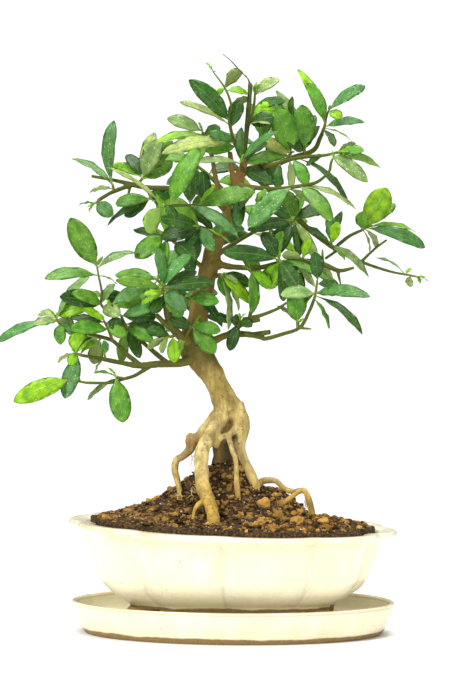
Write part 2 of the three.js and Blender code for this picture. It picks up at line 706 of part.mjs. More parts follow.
      [7, 5, 312, 1.8], [14, 18, 322, 1.3], [22, 30, 332, 1],
    ],
    leaves: [
      [1, 46, 44, 338, 12, 40], [1, 26, 54, 314, 12, 30], [0.9, 12, 46, 354, 12, 30],
      [0.7, -12, 32, 330, 11, 50], [0.7, 36, 26, 356, 11, 40], [0.4, 34, 14, 300, 10, 30],
    ],
  },
};

// ---- Solids from three.js geometries ----

// A closed manifold-3d solid from any closed three.js geometry.
function solidFrom(geometry) {
  const bare = geometry.index ? geometry.clone() : geometry;
  bare.deleteAttribute('normal');
  bare.deleteAttribute('uv');
  const merged = mergeVertices(bare, 1e-4);
  const index = merged.index.array;
  const kept = [];
  for (let i = 0; i < index.length; i += 3) {
    const [a, b, c] = [index[i], index[i + 1], index[i + 2]];
    if (a !== b && b !== c && c !== a) kept.push(a, b, c);
  }
  return new wasm.Manifold(new wasm.Mesh({
    numProp: 3,
    vertProperties: new Float32Array(merged.attributes.position.array),
    triVerts: new Uint32Array(kept),
  }));
}

function geometryFrom(solid) {
  const mesh = solid.getMesh();
  const geometry = new THREE.BufferGeometry();
  geometry.setAttribute('position', new THREE.BufferAttribute(mesh.vertProperties, 3));
  geometry.setIndex(new THREE.BufferAttribute(mesh.triVerts, 1));
  geometry.computeVertexNormals();
  return geometry;
}

function joined(solids) {
  return solids.reduce((whole, solid) => whole.add(solid));
}

// After a cut, only the piece that still hangs together is kept.
function largestPiece(solid) {
  const pieces = solid.decompose();
  return pieces.reduce((best, piece) => (piece.volume() > best.volume() ? piece : best));
}

function boxesMeet(one, other) {
  const a = one.boundingBox();
  const b = other.boundingBox();
  return [0, 1, 2].every((axis) => a.min[axis] < b.max[axis] && b.min[axis] < a.max[axis]);
}

function clearOf(solid, neighbours) {
  const near = neighbours.filter((neighbour) => boxesMeet(solid, neighbour));
  return largestPiece(near.reduce((left, neighbour) => left.subtract(neighbour), solid));
}

// The tree is drawn as it looks from its front, so what stands further back is drawn smaller. A
// limb's swing leans it to the back, or to the front if it is below zero, by so many mm for each
// 100 mm that it reaches out from the trunk.
const FRONT = new THREE.Vector3(0, -1, 0).applyAxisAngle(
  new THREE.Vector3(0, 0, 1),
  THREE.MathUtils.degToRad(TREE_TURN),
);

function placed([x, y, z], swing = 0) {
  const back = y + swing * Math.abs(x - TRUNK_X) / 100;
  const spread = 1 + back / EYE_AWAY;
  const height = EYE_HEIGHT + (z - EYE_HEIGHT) * spread;
  return new THREE.Vector3(x * spread, back, height).applyAxisAngle(
    new THREE.Vector3(0, 0, 1),
    THREE.MathUtils.degToRad(TREE_TURN),
  );
}

const FIRST_ACROSS = new THREE.Vector3(0.3, 0.9, 0.1);   // no limb starts out this way

// A tapered round limb through [x, y, z, radius] points, closed at both ends.
function limb(points, sides, swing = 0, grow = 0) {
  const steps = points.length - 1;
  const centres = points.map((point) => placed(point, swing));
  const tangents = centres.map((_, i) => {
    const before = centres[Math.max(i - 1, 0)];
    const after = centres[Math.min(i + 1, steps)];
    return after.clone().sub(before).normalize();
  });
  const across = [];
  let last = FIRST_ACROSS;
  for (const tangent of tangents) {
    last = last.clone().addScaledVector(tangent, -last.dot(tangent)).normalize();
    across.push(last);
  }
  const geometry = new THREE.CylinderGeometry(1, 1, 1, sides, steps);
  const position = geometry.attributes.position;
  for (let i = 0; i < position.count; i += 1) {
    const at = Math.round((position.getY(i) + 0.5) * steps);
    const radius = points[at][3] + grow;
    const upward = across[at].clone().cross(tangents[at]);
    const vertex = centres[at].clone()
      .addScaledVector(across[at], radius * position.getX(i))
      .addScaledVector(upward, radius * position.getZ(i));
    position.setXYZ(i, vertex.x, vertex.y, vertex.z);
  }
  return solidFrom(geometry);
}

function pointAlong(points, share, swing) {
  const path = new THREE.CurvePath();
  for (let i = 1; i < points.length; i += 1) {
    path.add(new THREE.LineCurve3(placed(points[i - 1], swing), placed(points[i], swing)));
  }
  return path.getPointAt(Math.min(share, 0.999));
}

// One leaf: a thin ridge-backed blade from the twig to its tip, arched, and turned about its own
// length: at 0 its upper face looks to the front, at 90 it looks up.
const LEAF_STATIONS = [
  { along: 0, width: 0.6, ridge: 0.5, edge: -0.4 },
  { along: 0.36, width: 0, share: 0.94, ridge: 0.7, edge: -0.2 },
  { along: 0.72, width: 0, share: 0.8, ridge: 0.7, edge: -0.2 },
  { along: 1, width: 0, share: 0, ridge: 0, edge: 0 },
];
const LEAF_ARCH = 0.1;
const TIP_SLOPE = LEAF_ARCH * 4 * 0.72;   // how fast the arch falls over the leaf's last part
const EDGE_REACH = 3.5;              // a grown blade widens by more than it thickens

function leaf(base, [x, y, z, width, turn], swing = 0, grow = 0) {
  const tip = placed([x, y, z], swing);
  const axis = tip.clone().sub(base);
  const length = axis.length();
  axis.normalize();
  const facing = FRONT.clone().addScaledVector(axis, -FRONT.dot(axis)).normalize();
  const lifted = axis.clone().cross(facing);
  if (lifted.z < 0) lifted.negate();
  const angle = THREE.MathUtils.degToRad(turn);
  const upper = facing.multiplyScalar(Math.cos(angle)).addScaledVector(lifted, Math.sin(angle));
  const side = axis.clone().cross(upper);
  const steps = LEAF_STATIONS.length - 1;
  const geometry = new THREE.CylinderGeometry(1, 1, 1, 3, steps);
  const position = geometry.attributes.position;
  for (let i = 0; i < position.count; i += 1) {
    const station = LEAF_STATIONS[Math.round((position.getY(i) + 0.5) * steps)];
    const across = position.getX(i) / Math.sin(Math.PI / 3);
    const onCentre = Math.hypot(position.getX(i), position.getZ(i)) < 0.5;
    const onRidge = !onCentre && Math.abs(across) < 0.5;
    const half = Math.max(station.width, (station.share ?? 0) * width / 2) + grow * EDGE_REACH;
    const arch = LEAF_ARCH * length * 4 * station.along * (1 - station.along);
    let lift = arch;
    if (onRidge) lift += station.ridge + grow;
    if (!onRidge && !onCentre) lift += station.edge - grow / 2;
    const reach = length * station.along + (station.along === 1 ? grow : 0);
    const vertex = base.clone().addScaledVector(axis, reach).addScaledVector(upper, lift);
    if (!onCentre) vertex.addScaledVector(side, half * across);
    if (station.along === 1) {
      vertex.copy(base).addScaledVector(axis, reach).addScaledVector(upper, -grow * TIP_SLOPE);
    }
    position.setXYZ(i, vertex.x, vertex.y, vertex.z);
  }
  return solidFrom(geometry);
}

// ---- Pot and saucer ----

// Turns a lathe's round section into an oval, which may be lobed and squared, and lays the lathe's
// height along Z.
function ovalOf(geometry, { depthRatioAt, creaseAt, squarenessAt, liftAt }) {
  const position = geometry.attributes.position;
  for (let i = 0; i < position.count; i += 1) {
    const height = position.getY(i);
    const radius = Math.hypot(position.getX(i), position.getZ(i));
    const angle = Math.atan2(position.getX(i), position.getZ(i));
    const crease = creaseAt(radius) * (1 - Math.abs(Math.sin(angle * LOBES / 2))) ** CREASE_SHARPNESS;
    const power = squarenessAt(radius);
    const sides = Math.abs(Math.sin(angle)) ** power + Math.abs(Math.cos(angle)) ** power;
    const reach = radius * (1 - crease) / sides ** (1 / power);
    const x = reach * Math.sin(angle);
    const y = -reach * depthRatioAt(radius) * Math.cos(angle);
    position.setXYZ(i, x, y, height + liftAt(x, height));
  }
  return geometry;
}

function lathe(profile, segments = TURN_SEGMENTS) {
  return new THREE.LatheGeometry(profile.map(([r, z]) => new THREE.Vector2(r, z)), segments);
}

// An oval's outline is drawn with this power in place of 2, and the pot's foot with a higher one.
const ROUND = 2;
const ROUND_FROM = 98;
const SQUARE_BELOW = 70;
const POT_SHAPE = {
  depthRatioAt: (radius) => RIM_DEPTH_RATIO - DEPTH_RATIO_FALL * (LIP_HALF - radius),
  creaseAt: () => CREASE,
  squarenessAt: (radius) => {
    const share = (ROUND_FROM - radius) / (ROUND_FROM - SQUARE_BELOW);
    return ROUND + BASE_SQUARENESS * THREE.MathUtils.clamp(share, 0, 1);
  },
  liftAt: (x, z) => -RIM_SLOPE * x * Math.max(0, (z - POT_FLOOR) / (POT_RIM - POT_FLOOR)),
};
const SAUCER_SHAPE = {
  depthRatioAt: () => SAUCER_DEPTH_RATIO,
  creaseAt: () => 0,
  squarenessAt: () => ROUND,
  liftAt: () => 0,
};

const POT_OUTSIDE = [
  [0, POT_UNDERSIDE], [67, POT_UNDERSIDE], [69, 20], [70.5, 22], [78, 26], [84, 30], [89, 35],
  [93, 42], [98, 54], [101, 64],
  [LIP_HALF - 2, 68], [LIP_HALF, 71], [LIP_HALF - 3, POT_RIM],
];
const POT_INSIDE = [[98, 71], [94, 61], [90, 48], [84, 36], [74, POT_FLOOR], [0, POT_FLOOR]];

// The cast body has four short feet underneath and two drain holes through its floor.
function potSolid() {
  const body = solidFrom(ovalOf(lathe([...POT_OUTSIDE, ...POT_INSIDE]), POT_SHAPE));
  const footHeight = POT_UNDERSIDE - SAUCER_FLOOR;
  const feet = [-1, 1].flatMap((sx) => [-1, 1].map((sy) => {
    const foot = new THREE.BoxGeometry(FOOT.length, FOOT.depth, footHeight + FOOT.overlap);
    const position = foot.attributes.position;
    for (let i = 0; i < position.count; i += 1) {
      if (position.getZ(i) < 0) {
        position.setX(i, position.getX(i) * FOOT.taper);
        position.setY(i, position.getY(i) * FOOT.taper);
      }
    }
    foot.translate(sx * FOOT.x, sy * FOOT.y, SAUCER_FLOOR + (footHeight + FOOT.overlap) / 2);
    return solidFrom(foot);
  }));
  const holes = [-1, 1].map((sx) => {
    const drill = new THREE.CylinderGeometry(DRAIN.radius, DRAIN.radius, 2 * POT_UNDERSIDE, 16);
    drill.rotateX(Math.PI / 2);
    drill.translate(sx * DRAIN.x, 0, POT_UNDERSIDE);
    return solidFrom(drill);
  });
  return holes.reduce((left, hole) => left.subtract(hole), joined([body, ...feet]));
}

function saucerSolid() {
  const profile = [
    [0, 0], [SAUCER_BASE_HALF, 0], [103, 5], [107, 13], [108.5, SAUCER_RIM - 1], [107.5, SAUCER_RIM],
    [105.5, SAUCER_RIM - 1], [103, 14], [97, SAUCER_FLOOR], [0, SAUCER_FLOOR],
  ];
  return solidFrom(ovalOf(lathe(profile), SAUCER_SHAPE));
}

// A square of plastic mesh, ribs both ways, that lies on the pot's floor over a drain hole.
function screenSolid(sx) {
  const pitch = (SCREEN.size - SCREEN.rib) / SCREEN.holes;
  const ribs = [];
  for (let i = 0; i <= SCREEN.holes; i += 1) {
    const offset = (SCREEN.rib - SCREEN.size) / 2 + i * pitch;
    const lengthwise = new THREE.BoxGeometry(SCREEN.size, SCREEN.rib, SCREEN.thickness);
    lengthwise.translate(0, offset, 0);
    const crosswise = new THREE.BoxGeometry(SCREEN.rib, SCREEN.size, SCREEN.thickness);
    crosswise.translate(offset, 0, 0);
    ribs.push(lengthwise, crosswise);
  }
  return joined(ribs.map((rib) => (
    solidFrom(rib.translate(sx * DRAIN.x, 0, POT_FLOOR + SCREEN.thickness / 2))
  )));
}

// ---- Soil ----

const SOIL_HALF = 96;
const SOIL_RINGS = [0.93, 0.75, 0.56, 0.38, 0.19];

function soilHeight(x, y) {
  const spread = 1 - (x / SURFACE.length) ** 2 - (y / SURFACE.depth) ** 2;
  const side = x > MOUND.x ? MOUND.right : MOUND.left;
  const mound = Math.exp(-(((x - MOUND.x) / side) ** 2) - ((y - MOUND.y) / MOUND.depth) ** 2);
  const ridge = Math.exp(-(((x - RIDGE.x) / RIDGE.length) ** 2) - ((y - RIDGE.y) / RIDGE.depth) ** 2);
  const crumbs = CRUMBS.height * Math.sin(x / CRUMBS.alongX) * Math.cos(y / CRUMBS.alongY);
  const heaped = MOUND.height * mound + RIDGE.height * ridge;
  return SURFACE.edge - RIM_SLOPE * x + SURFACE.crown * spread + heaped + crumbs;
}

// The soil fills the pot from its floor to the lip, and rises in a mound round the trunk.
function soilSolid(cutters) {
  const wall = [...POT_INSIDE].reverse().slice(1).map(([r, z]) => [r - GAP * 2, Math.max(z, POT_FLOOR)]);
  const below = [[0, POT_FLOOR], ...wall.slice(0, -1), [SOIL_HALF, 68]];
  const above = [...SOIL_RINGS, 0].map((share) => [SOIL_HALF * share, POT_RIM + 1]);
  const geometry = ovalOf(lathe([...below, ...above]), { ...POT_SHAPE, liftAt: () => 0 });
  const position = geometry.attributes.position;
  for (let i = 0; i < position.count; i += 1) {
    const [x, y, z] = [position.getX(i), position.getY(i), position.getZ(i)];
    position.setZ(i, z > POT_RIM ? soilHeight(x, y) : z + POT_SHAPE.liftAt(x, z));
  }
  return largestPiece(cutters.reduce((left, cutter) => left.subtract(cutter), solidFrom(geometry)));
}

const GRAIN_SHOWING = 0.35;          // how far a grain's middle stands over the soil, by its height
const GRAINS = [
  { name: 'clay_grain_large', x: 23, y: -19, size: [4.6, 3.8, 3.9], turn: 0.4 },
  { name: 'clay_grain_right', x: 46, y: -32, size: [5.4, 4.2, 3], turn: 1.2 },
  { name: 'clay_grain_middle', x: 33, y: -27, size: [3.4, 3.2, 3], turn: 2.1 },
];

// A fired clay grain, lying half sunk in the soil.
function grainSolid({ x, y, size, turn }, grow = 0) {
  const grain = new THREE.IcosahedronGeometry(1, 1);
  grain.scale(...size.map((half) => half + grow));
  grain.rotateZ(turn);
  grain.rotateX(turn / 3);
  grain.translate(x, y, soilHeight(x, y) + size[2] * GRAIN_SHOWING);
  return solidFrom(grain);
}

// ---- Tree ----

const BOLE_SIDES = 9;
const ROOT_SIDES = 7;
const LIMB_SIDES = 5;
const TWIG_SIDES = 4;

function trunkSolid(grow = 0) {
  const [bole, ...others] = TRUNK_TUBES;
  const limbs = others.map((tube) => limb(tube, ROOT_SIDES, 0, grow));
  return joined([limb(bole, BOLE_SIDES, 0, grow), ...limbs]);
}

function branchSolid({ swing, tubes }, grow = 0) {
  return joined(tubes.map((tube) => limb(tube, LIMB_SIDES, swing, grow)));
}

function shootSolid({ swing, stem, leaves }, grow = 0) {
  const twig = limb(stem, TWIG_SIDES, swing, grow);
  const blades = leaves.map(([share, ...spec]) => (
    leaf(pointAlong(stem, share, swing), spec, swing, grow)
  ));
  return joined([twig, ...blades]);
}

// ---- Assembly ----

const group = new THREE.Group();

function addPiece(name, solid, colour) {
  const mesh = new THREE.Mesh(geometryFrom(solid), new THREE.MeshStandardMaterial(COLOURS[colour]));
  mesh.name = name;
  group.add(mesh);
}

addPiece('saucer', saucerSolid(), 'glaze');
addPiece('pot', potSolid(), 'glaze');
addPiece('drain_screen_left', screenSolid(-1), 'mesh');
addPiece('drain_screen_right', screenSolid(1), 'mesh');

const screenSpace = [-1, 1].map((sx) => {
  const side = SCREEN.size + 2 * GAP;
  const space = new THREE.BoxGeometry(side, side, 2 * (SCREEN.thickness + GAP));
  space.translate(sx * DRAIN.x, 0, POT_FLOOR);
  return solidFrom(space);
});
const grainSpace = GRAINS.map((grain) => grainSolid(grain, GAP));
const trunkSpace = trunkSolid(GAP);
addPiece('soil', soilSolid([trunkSpace, ...screenSpace, ...grainSpace]), 'soil');
for (const grain of GRAINS) addPiece(grain.name, clearOf(grainSolid(grain), [trunkSpace]), 'grain');

// Each limb is kept clear of the ones that are already in place.
const inPlace = [trunkSpace];
addPiece('trunk_and_roots', trunkSolid(), 'bark');
for (const [name, branch] of Object.entries(BRANCHES)) {
  addPiece(name, clearOf(branchSolid(branch), inPlace), 'twig');
  inPlace.push(branchSolid(branch, GAP));
}
for (const [name, shoot] of Object.entries(SHOOTS)) {
  addPiece(name, clearOf(shootSolid(shoot), inPlace), 'leaf');
  inPlace.push(shootSolid(shoot, GAP));
}

export default group;
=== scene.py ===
import math

import bmesh
import bpy
import numpy as np
from mathutils import Matrix, Vector, noise


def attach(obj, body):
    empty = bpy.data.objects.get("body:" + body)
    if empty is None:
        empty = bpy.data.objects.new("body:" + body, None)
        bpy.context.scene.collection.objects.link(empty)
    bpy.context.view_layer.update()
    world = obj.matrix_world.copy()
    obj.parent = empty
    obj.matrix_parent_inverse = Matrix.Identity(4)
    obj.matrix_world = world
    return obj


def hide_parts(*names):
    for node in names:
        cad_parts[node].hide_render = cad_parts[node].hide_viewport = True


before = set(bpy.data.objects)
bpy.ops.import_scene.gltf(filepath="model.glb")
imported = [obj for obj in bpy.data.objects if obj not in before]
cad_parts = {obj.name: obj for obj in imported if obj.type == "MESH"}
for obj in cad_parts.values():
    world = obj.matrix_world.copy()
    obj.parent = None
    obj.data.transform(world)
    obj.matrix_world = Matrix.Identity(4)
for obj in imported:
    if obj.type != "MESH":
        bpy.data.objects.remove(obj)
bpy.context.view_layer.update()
MM = 0.001

# ---- Saucer ----
# A shallow oval dish, slip cast in one piece and dipped in cream glaze. The foot was wiped
# bare before firing, so it is brown, and the glaze has broken thin along the rim.

SAUCER_DEPTH = 0.627                  # depth over length
SAUCER_PROFILE = [
    (0, 0), (60, 0), (96, 0), (99, 0.2), (100.8, 1.6), (103, 5), (105.5, 9.2), (107, 13), (108.2, 17.6),
    (108.5, 20.2), (108.2, 21.2), (107.5, 21.5), (106.6, 21.3), (105.6, 20.2), (104.6, 17.4), (103, 14.2),
    (100.6, 11.4), (97, 10.2), (92, 10), (60, 10), (0, 10),
]
CREAM = (0.85, 0.81, 0.57)
BARE_CLAY = (0.20, 0.115, 0.025)


class Wire:
    """A node's socket. Sums written on it become Math nodes."""

    def __init__(self, board, socket):
        self.board, self.socket = board, socket

    def sum(self, sign, one, other=0.0):
        return self.board.put("ShaderNodeMath", {"operation": sign}, {0: one, 1: other})[0]

    def __add__(self, other):
        return self.sum("ADD", self, other)

    def __sub__(self, other):
        return self.sum("SUBTRACT", self, other)

    def __rsub__(self, other):
        return self.sum("SUBTRACT", other, self)

    def __mul__(self, other):
        return self.sum("MULTIPLY", self, other)

    def __truediv__(self, other):
        return self.sum("DIVIDE", self, other)

    def __rtruediv__(self, other):
        return self.sum("DIVIDE", other, self)

    def __pow__(self, other):
        return self.sum("POWER", self, other)

    def __abs__(self):
        return self.sum("ABSOLUTE", self)

    __radd__, __rmul__ = __add__, __mul__


class Outlets:
    """The output sockets of one node, by name or number."""

    def __init__(self, board, node):
        self.board, self.node = board, node

    def __getitem__(self, key):
        return Wire(self.board, self.node.outputs[key])


class Board:
    """A node tree that nodes are put on and wired up."""

    def __init__(self, tree):
        self.tree = tree

    def put(self, kind, settings=None, values=None):
        node = self.tree.nodes.new(kind)
        for name, setting in (settings or {}).items():
            setattr(node, name, setting)
        for name, value in (values or {}).items():
            socket = node.inputs[name]
            if isinstance(value, Wire):
                self.tree.links.new(value.socket, socket)
            elif socket.type == "RGBA":
                socket.default_value = (*value, 1)
            else:
                socket.default_value = value
        return Outlets(self, node)

    def parts(self, vector):
        split = self.put("ShaderNodeSeparateXYZ", {}, {"Vector": vector})
        return split["X"], split["Y"], split["Z"]

    def vector(self, x, y, z):
        return self.put("ShaderNodeCombineXYZ", {}, {"X": x, "Y": y, "Z": z})["Vector"]

    def vectors(self, sign, one, other=None, scale=None):
        given = {0: one}
        if other is not None:
            given[1] = other
        if scale is not None:
            given["Scale"] = scale
        return self.put("ShaderNodeVectorMath", {"operation": sign}, given)[0]

    def sine(self, angle, sign="SINE"):
        return self.put("ShaderNodeMath", {"operation": sign}, {0: angle})[0]

    def between(self, value, low, high, start=0.0, end=1.0):
        """Turns low to high into start to end, and holds the value at both ends."""
        values = {"Value": value, "From Min": low, "From Max": high, "To Min": start, "To Max": end}
        return self.put("ShaderNodeMapRange", {"clamp": True}, values)[0]


class Finish(Board):
    """A surface finish: one node material with its shader in place."""

    def __init__(self, name, **fixed):
        self.material = bpy.data.materials.new(name)
        self.material.use_nodes = True
        super().__init__(self.material.node_tree)
        self.tree.nodes.clear()
        named = {word.replace("_", " ").title().replace("Ior", "IOR"): fixed[word] for word in fixed}
        self.shader = self.put("ShaderNodeBsdfPrincipled", {}, named).node
        self.put("ShaderNodeOutputMaterial", {}, {"Surface": Wire(self, self.shader.outputs[0])})
        self.place = self.put("ShaderNodeTexCoord")["Object"]

    def stretched(self, x, y, z):
        return self.put("ShaderNodeMapping", {}, {"Vector": self.place, "Scale": (x, y, z)})[0]

    def mottle(self, per_metre, detail=3.0, where=None, rough=0.55):
        values = {"Vector": where or self.place, "Scale": per_metre, "Detail": detail, "Roughness": rough}
        return self.put("ShaderNodeTexNoise", {}, values)[0]

    def cells(self, per_metre, feature="F1", where=None):
        values = {"Vector": where or self.place, "Scale": per_metre}
        return self.put("ShaderNodeTexVoronoi", {"feature": feature}, values)["Distance"]

    def note(self, name, output="Fac"):
        """A value that the mesh carries at each point."""
        return self.put("ShaderNodeAttribute", {"attribute_name": name})[output]

    def near(self, point, reach):
        """1 close to a point in mm, falling to 0 at the reach."""
        away = self.vectors("DISTANCE", self.place, tuple(MM * c for c in point))
        away = Wire(self, away.socket.node.outputs["Value"])
        return self.between(away, 0.4 * reach * MM, reach * MM, 1.0, 0.0)

    def mix(self, share, one, other, kind="MIX"):
        settings = {"data_type": "RGBA", "blend_type": kind}
        return self.put("ShaderNodeMix", settings, {0: share, 6: one, 7: other})[2]

    def coloured(self, colour, roughness=None):
        self.tree.links.new(colour.socket, self.shader.inputs["Base Color"])
        if roughness is not None:
            self.tree.links.new(roughness.socket, self.shader.inputs["Roughness"])

    def raised(self, height, distance_mm):
        values = {"Height": height, "Distance": distance_mm * MM}
        bump = self.put("ShaderNodeBump", {}, values)["Normal"]
        self.tree.links.new(bump.socket, self.shader.inputs["Normal"])


class Shaping(Board):
    """A Geometry Nodes tree with named inputs, run once on a mesh to give a finished one."""

    KINDS = {
        float: "NodeSocketFloat", int: "NodeSocketInt", bpy.types.Object: "NodeSocketObject",
        bpy.types.Collection: "NodeSocketCollection", bpy.types.Material: "NodeSocketMaterial",
    }

    def __init__(self, name, inputs):
        super().__init__(bpy.data.node_groups.new(name, "GeometryNodeTree"))
        face = self.tree.interface
        face.new_socket("Geometry", in_out="OUTPUT", socket_type="NodeSocketGeometry")
        face.new_socket("Geometry", in_out="INPUT", socket_type="NodeSocketGeometry")
        self.sockets = {}
        for label, kind in inputs.items():
            socket = face.new_socket(label, in_out="INPUT", socket_type=self.KINDS[kind])
            self.sockets[label] = socket.identifier
        self.given = self.put("NodeGroupInput")

    def attribute(self, name, kind="FLOAT"):
        return self.put("GeometryNodeInputNamedAttribute", {"data_type": kind}, {"Name": name})[0]

    def stored(self, geometry, name, value, domain="POINT"):
        settings = {"data_type": "FLOAT", "domain": domain}
        values = {"Geometry": geometry, "Name": name, "Value": value}
        return self.put("GeometryNodeStoreNamedAttribute", settings, values)[0]

    def chance(self, low, high, seed):
        """A random value for each point, a vector where the ends are vectors."""
        kind, first = ("FLOAT_VECTOR", 0) if isinstance(low, tuple) else ("FLOAT", 2)
        values = {first: low, first + 1: high, "Seed": seed}
        return self.put("FunctionNodeRandomValue", {"data_type": kind}, values)["Value"]

    def ends_with(self, geometry):
        realised = self.put("GeometryNodeRealizeInstances", {}, {"Geometry": geometry})[0]
        values = {"Geometry": realised, "Material": self.given["Material"]}
        covered = self.put("GeometryNodeSetMaterial", {}, values)[0]
        self.put("NodeGroupOutput", {}, {"Geometry": covered})

    def run(self, name, mesh, values, after=()):
        blank = bpy.data.objects.new(name, mesh)
        bpy.context.collection.objects.link(blank)
        modifier = blank.modifiers.new("shape", "NODES")
        modifier.node_group = self.tree
        for label, value in values.items():
            modifier[self.sockets[label]] = value
        for kind, settings in after:
            extra = blank.modifiers.new(kind.lower(), kind)
            for setting, value in settings.items():
                setattr(extra, setting, value)
        seen = blank.evaluated_get(bpy.context.evaluated_depsgraph_get())
        made = bpy.data.meshes.new_from_object(seen)
        bpy.data.objects.remove(blank)
        return made


def place_piece(name, mesh, slot, *nodes, material=None, smooth=True):
    """Puts a finished mesh into the scene as a piece that rides on the one body."""
    mesh.name = name
    if material is not None:
        mesh.materials.clear()
        mesh.materials.append(material)
    mesh.polygons.foreach_set("use_smooth", [smooth] * len(mesh.polygons))
    piece = bpy.data.objects.new(name, mesh)
    bpy.context.collection.objects.link(piece)
    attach(piece, "root")
    if nodes:
        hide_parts(*nodes)
    return piece


def thrown(profile, steps):
    """A round closed shell turned from (radius, height) points in mm, pole to pole."""
    shell = bmesh.new()
    rings = []
    for radius, height in profile:
        if radius == 0:
            rings.append([shell.verts.new((0, 0, height * MM))])
            continue
        turns = [2 * math.pi * step / steps for step in range(steps)]
        rings.append([
            shell.verts.new((radius * MM * math.sin(turn), -radius * MM * math.cos(turn), height * MM))
            for turn in turns
        ])
    for lower, upper in zip(rings, rings[1:]):
        for step in range(steps):
            after = (step + 1) % steps
            corners = [lower[step % len(lower)], lower[after % len(lower)]]
            corners += [upper[after % len(upper)], upper[step % len(upper)]]
            shell.faces.new(list(dict.fromkeys(corners)))
    bmesh.ops.recalc_face_normals(shell, faces=shell.faces)
    mesh = bpy.data.meshes.new("thrown")
    shell.to_mesh(mesh)
    shell.free()
    return mesh


def eased(profile, steps):
    """The same outline with extra points along a smooth curve through the ones given."""
    points = [np.array(point, float) for point in profile]
    points = [points[0], *points, points[-1]]
    curve = []
    for before, start, end, after in zip(points, points[1:], points[2:], points[3:]):
        for t in np.arange(steps) / steps:
            bend = 2 * start + (end - before) * t + (2 * before - 5 * start + 4 * end - after) * t ** 2
            curve.append(0.5 * (bend + (3 * start - before - 3 * end + after) * t ** 3))
    return [*((max(r, 0.0), z) for r, z in curve), tuple(profile[-1])]


# Presses a round thrown shell into an oval, squarer where it is narrow, and pinches its wall
# into petals.
SQUARE_BELOW, ROUND_FROM = 70, 98
press = Shaping("press_into_petals", {
    "Petals": int, "Crease": float, "Sharpness": float, "Squareness": float, "Depth At Lip": float,
    "Depth Fall": float, "Lip": float, "Slope": float, "Floor": float, "Wall": float,
    "Material": bpy.types.Material,
})
at_x, at_y, at_z = press.parts(press.put("GeometryNodeInputPosition")[0])
radius = (at_x * at_x + at_y * at_y) ** 0.5
turn = press.put("ShaderNodeMath", {"operation": "ARCTAN2"}, {0: at_x, 1: 0 - at_y})[0]
sine, cosine = press.sine(turn), press.sine(turn, "COSINE")
wave = abs(press.sine(turn * press.given["Petals"] * 0.5))
pinch = press.given["Crease"] * (1 - wave) ** press.given["Sharpness"]
squared = press.between(radius, SQUARE_BELOW * MM, ROUND_FROM * MM, 1.0, 0.0)
power = squared * press.given["Squareness"] + 2
reach = radius * (1 - pinch) / (abs(sine) ** power + abs(cosine) ** power) ** (1 / power)
ratio = press.given["Depth At Lip"] - press.given["Depth Fall"] * (press.given["Lip"] - radius)
new_x = reach * sine
new_y = reach * ratio * cosine
climb = (at_z - press.given["Floor"]) / press.given["Wall"]
climb = press.put("ShaderNodeMath", {"operation": "MAXIMUM"}, {0: climb, 1: 0.0})[0]
new_z = at_z - press.given["Slope"] * new_x * climb
marked = press.stored(press.given["Geometry"], "petal", wave)
pressed = press.put(
    "GeometryNodeSetPosition", {},
    {"Geometry": marked, "Position": press.vector(new_x, 0 - new_y, new_z)},
)[0]
press.ends_with(pressed)


def cream_glaze(name, bare_below, rim_height):
    """Cream glaze with a fine crackle and pinholes, over clay that is bare below a height in mm."""
    glaze = Finish(name, roughness=0.2, specular_ior_level=0.5, coat_weight=0.35, coat_roughness=0.08)
    height = glaze.parts(glaze.place)[2]
    clouds = glaze.mottle(28, 4)
    streaks = glaze.mottle(60, 3, glaze.stretched(1, 1, 0.25))
    colour = glaze.mix(glaze.between(clouds, 0.35, 0.7), CREAM, (0.80, 0.70, 0.47))
    colour = glaze.mix(glaze.between(streaks, 0.45, 0.75) * 0.5, colour, (0.92, 0.88, 0.74))
    waves = glaze.put("ShaderNodeTexNoise", {}, {"Vector": glaze.place, "Scale": 90.0})["Color"]
    bent = glaze.vectors("ADD", glaze.place, glaze.vectors("SCALE", waves, scale=0.006))
    crackle = glaze.between(glaze.cells(150, "DISTANCE_TO_EDGE", bent), 0.0, 0.035, 1.0, 0.0)
    colour = glaze.mix(crackle * glaze.between(clouds, 0.4, 0.6) * 0.22, colour, (0.42, 0.31, 0.16))
    pinholes = glaze.between(glaze.cells(70), 0.03, 0.05, 1.0, 0.0)
    colour = glaze.mix(pinholes * 0.75, colour, (0.13, 0.09, 0.05))
    pooled = glaze.between(glaze.note("petal") + (clouds - 0.5) * 0.1, 0.0, 0.13, 1.0, 0.0)
    thin = glaze.between(height, (rim_height - 1.6) * MM, (rim_height - 0.4) * MM)
    thin = thin * glaze.between(glaze.mottle(55, 3), 0.42, 0.62)
    colour = glaze.mix(thin * 0.45, colour, (0.50, 0.33, 0.15))
    edge = height + (glaze.mottle(45, 3) - 0.5) * 0.004
    bare = glaze.between(edge, bare_below * MM, (bare_below + 0.9) * MM, 1.0, 0.0)
    grit = glaze.mottle(900, 2)
    clay = glaze.mix(glaze.between(grit, 0.3, 0.7), BARE_CLAY, (0.31, 0.20, 0.065))
    return glaze, glaze.mix(bare, colour, clay), bare, pooled, crackle, grit, clouds


def laid(glaze, colour, bare, crackle, grit, clouds):
    """Puts the glaze on: glossy where it covers, dull and a little lower on bare clay."""
    glaze.coloured(colour, 0.2 + bare * 0.6 + crackle * 0.05)
    glaze.raised(clouds * 0.8 - crackle * 0.06 + bare * (grit - 0.5) * 0.25 - bare * 0.3, 0.5)
    return glaze.material


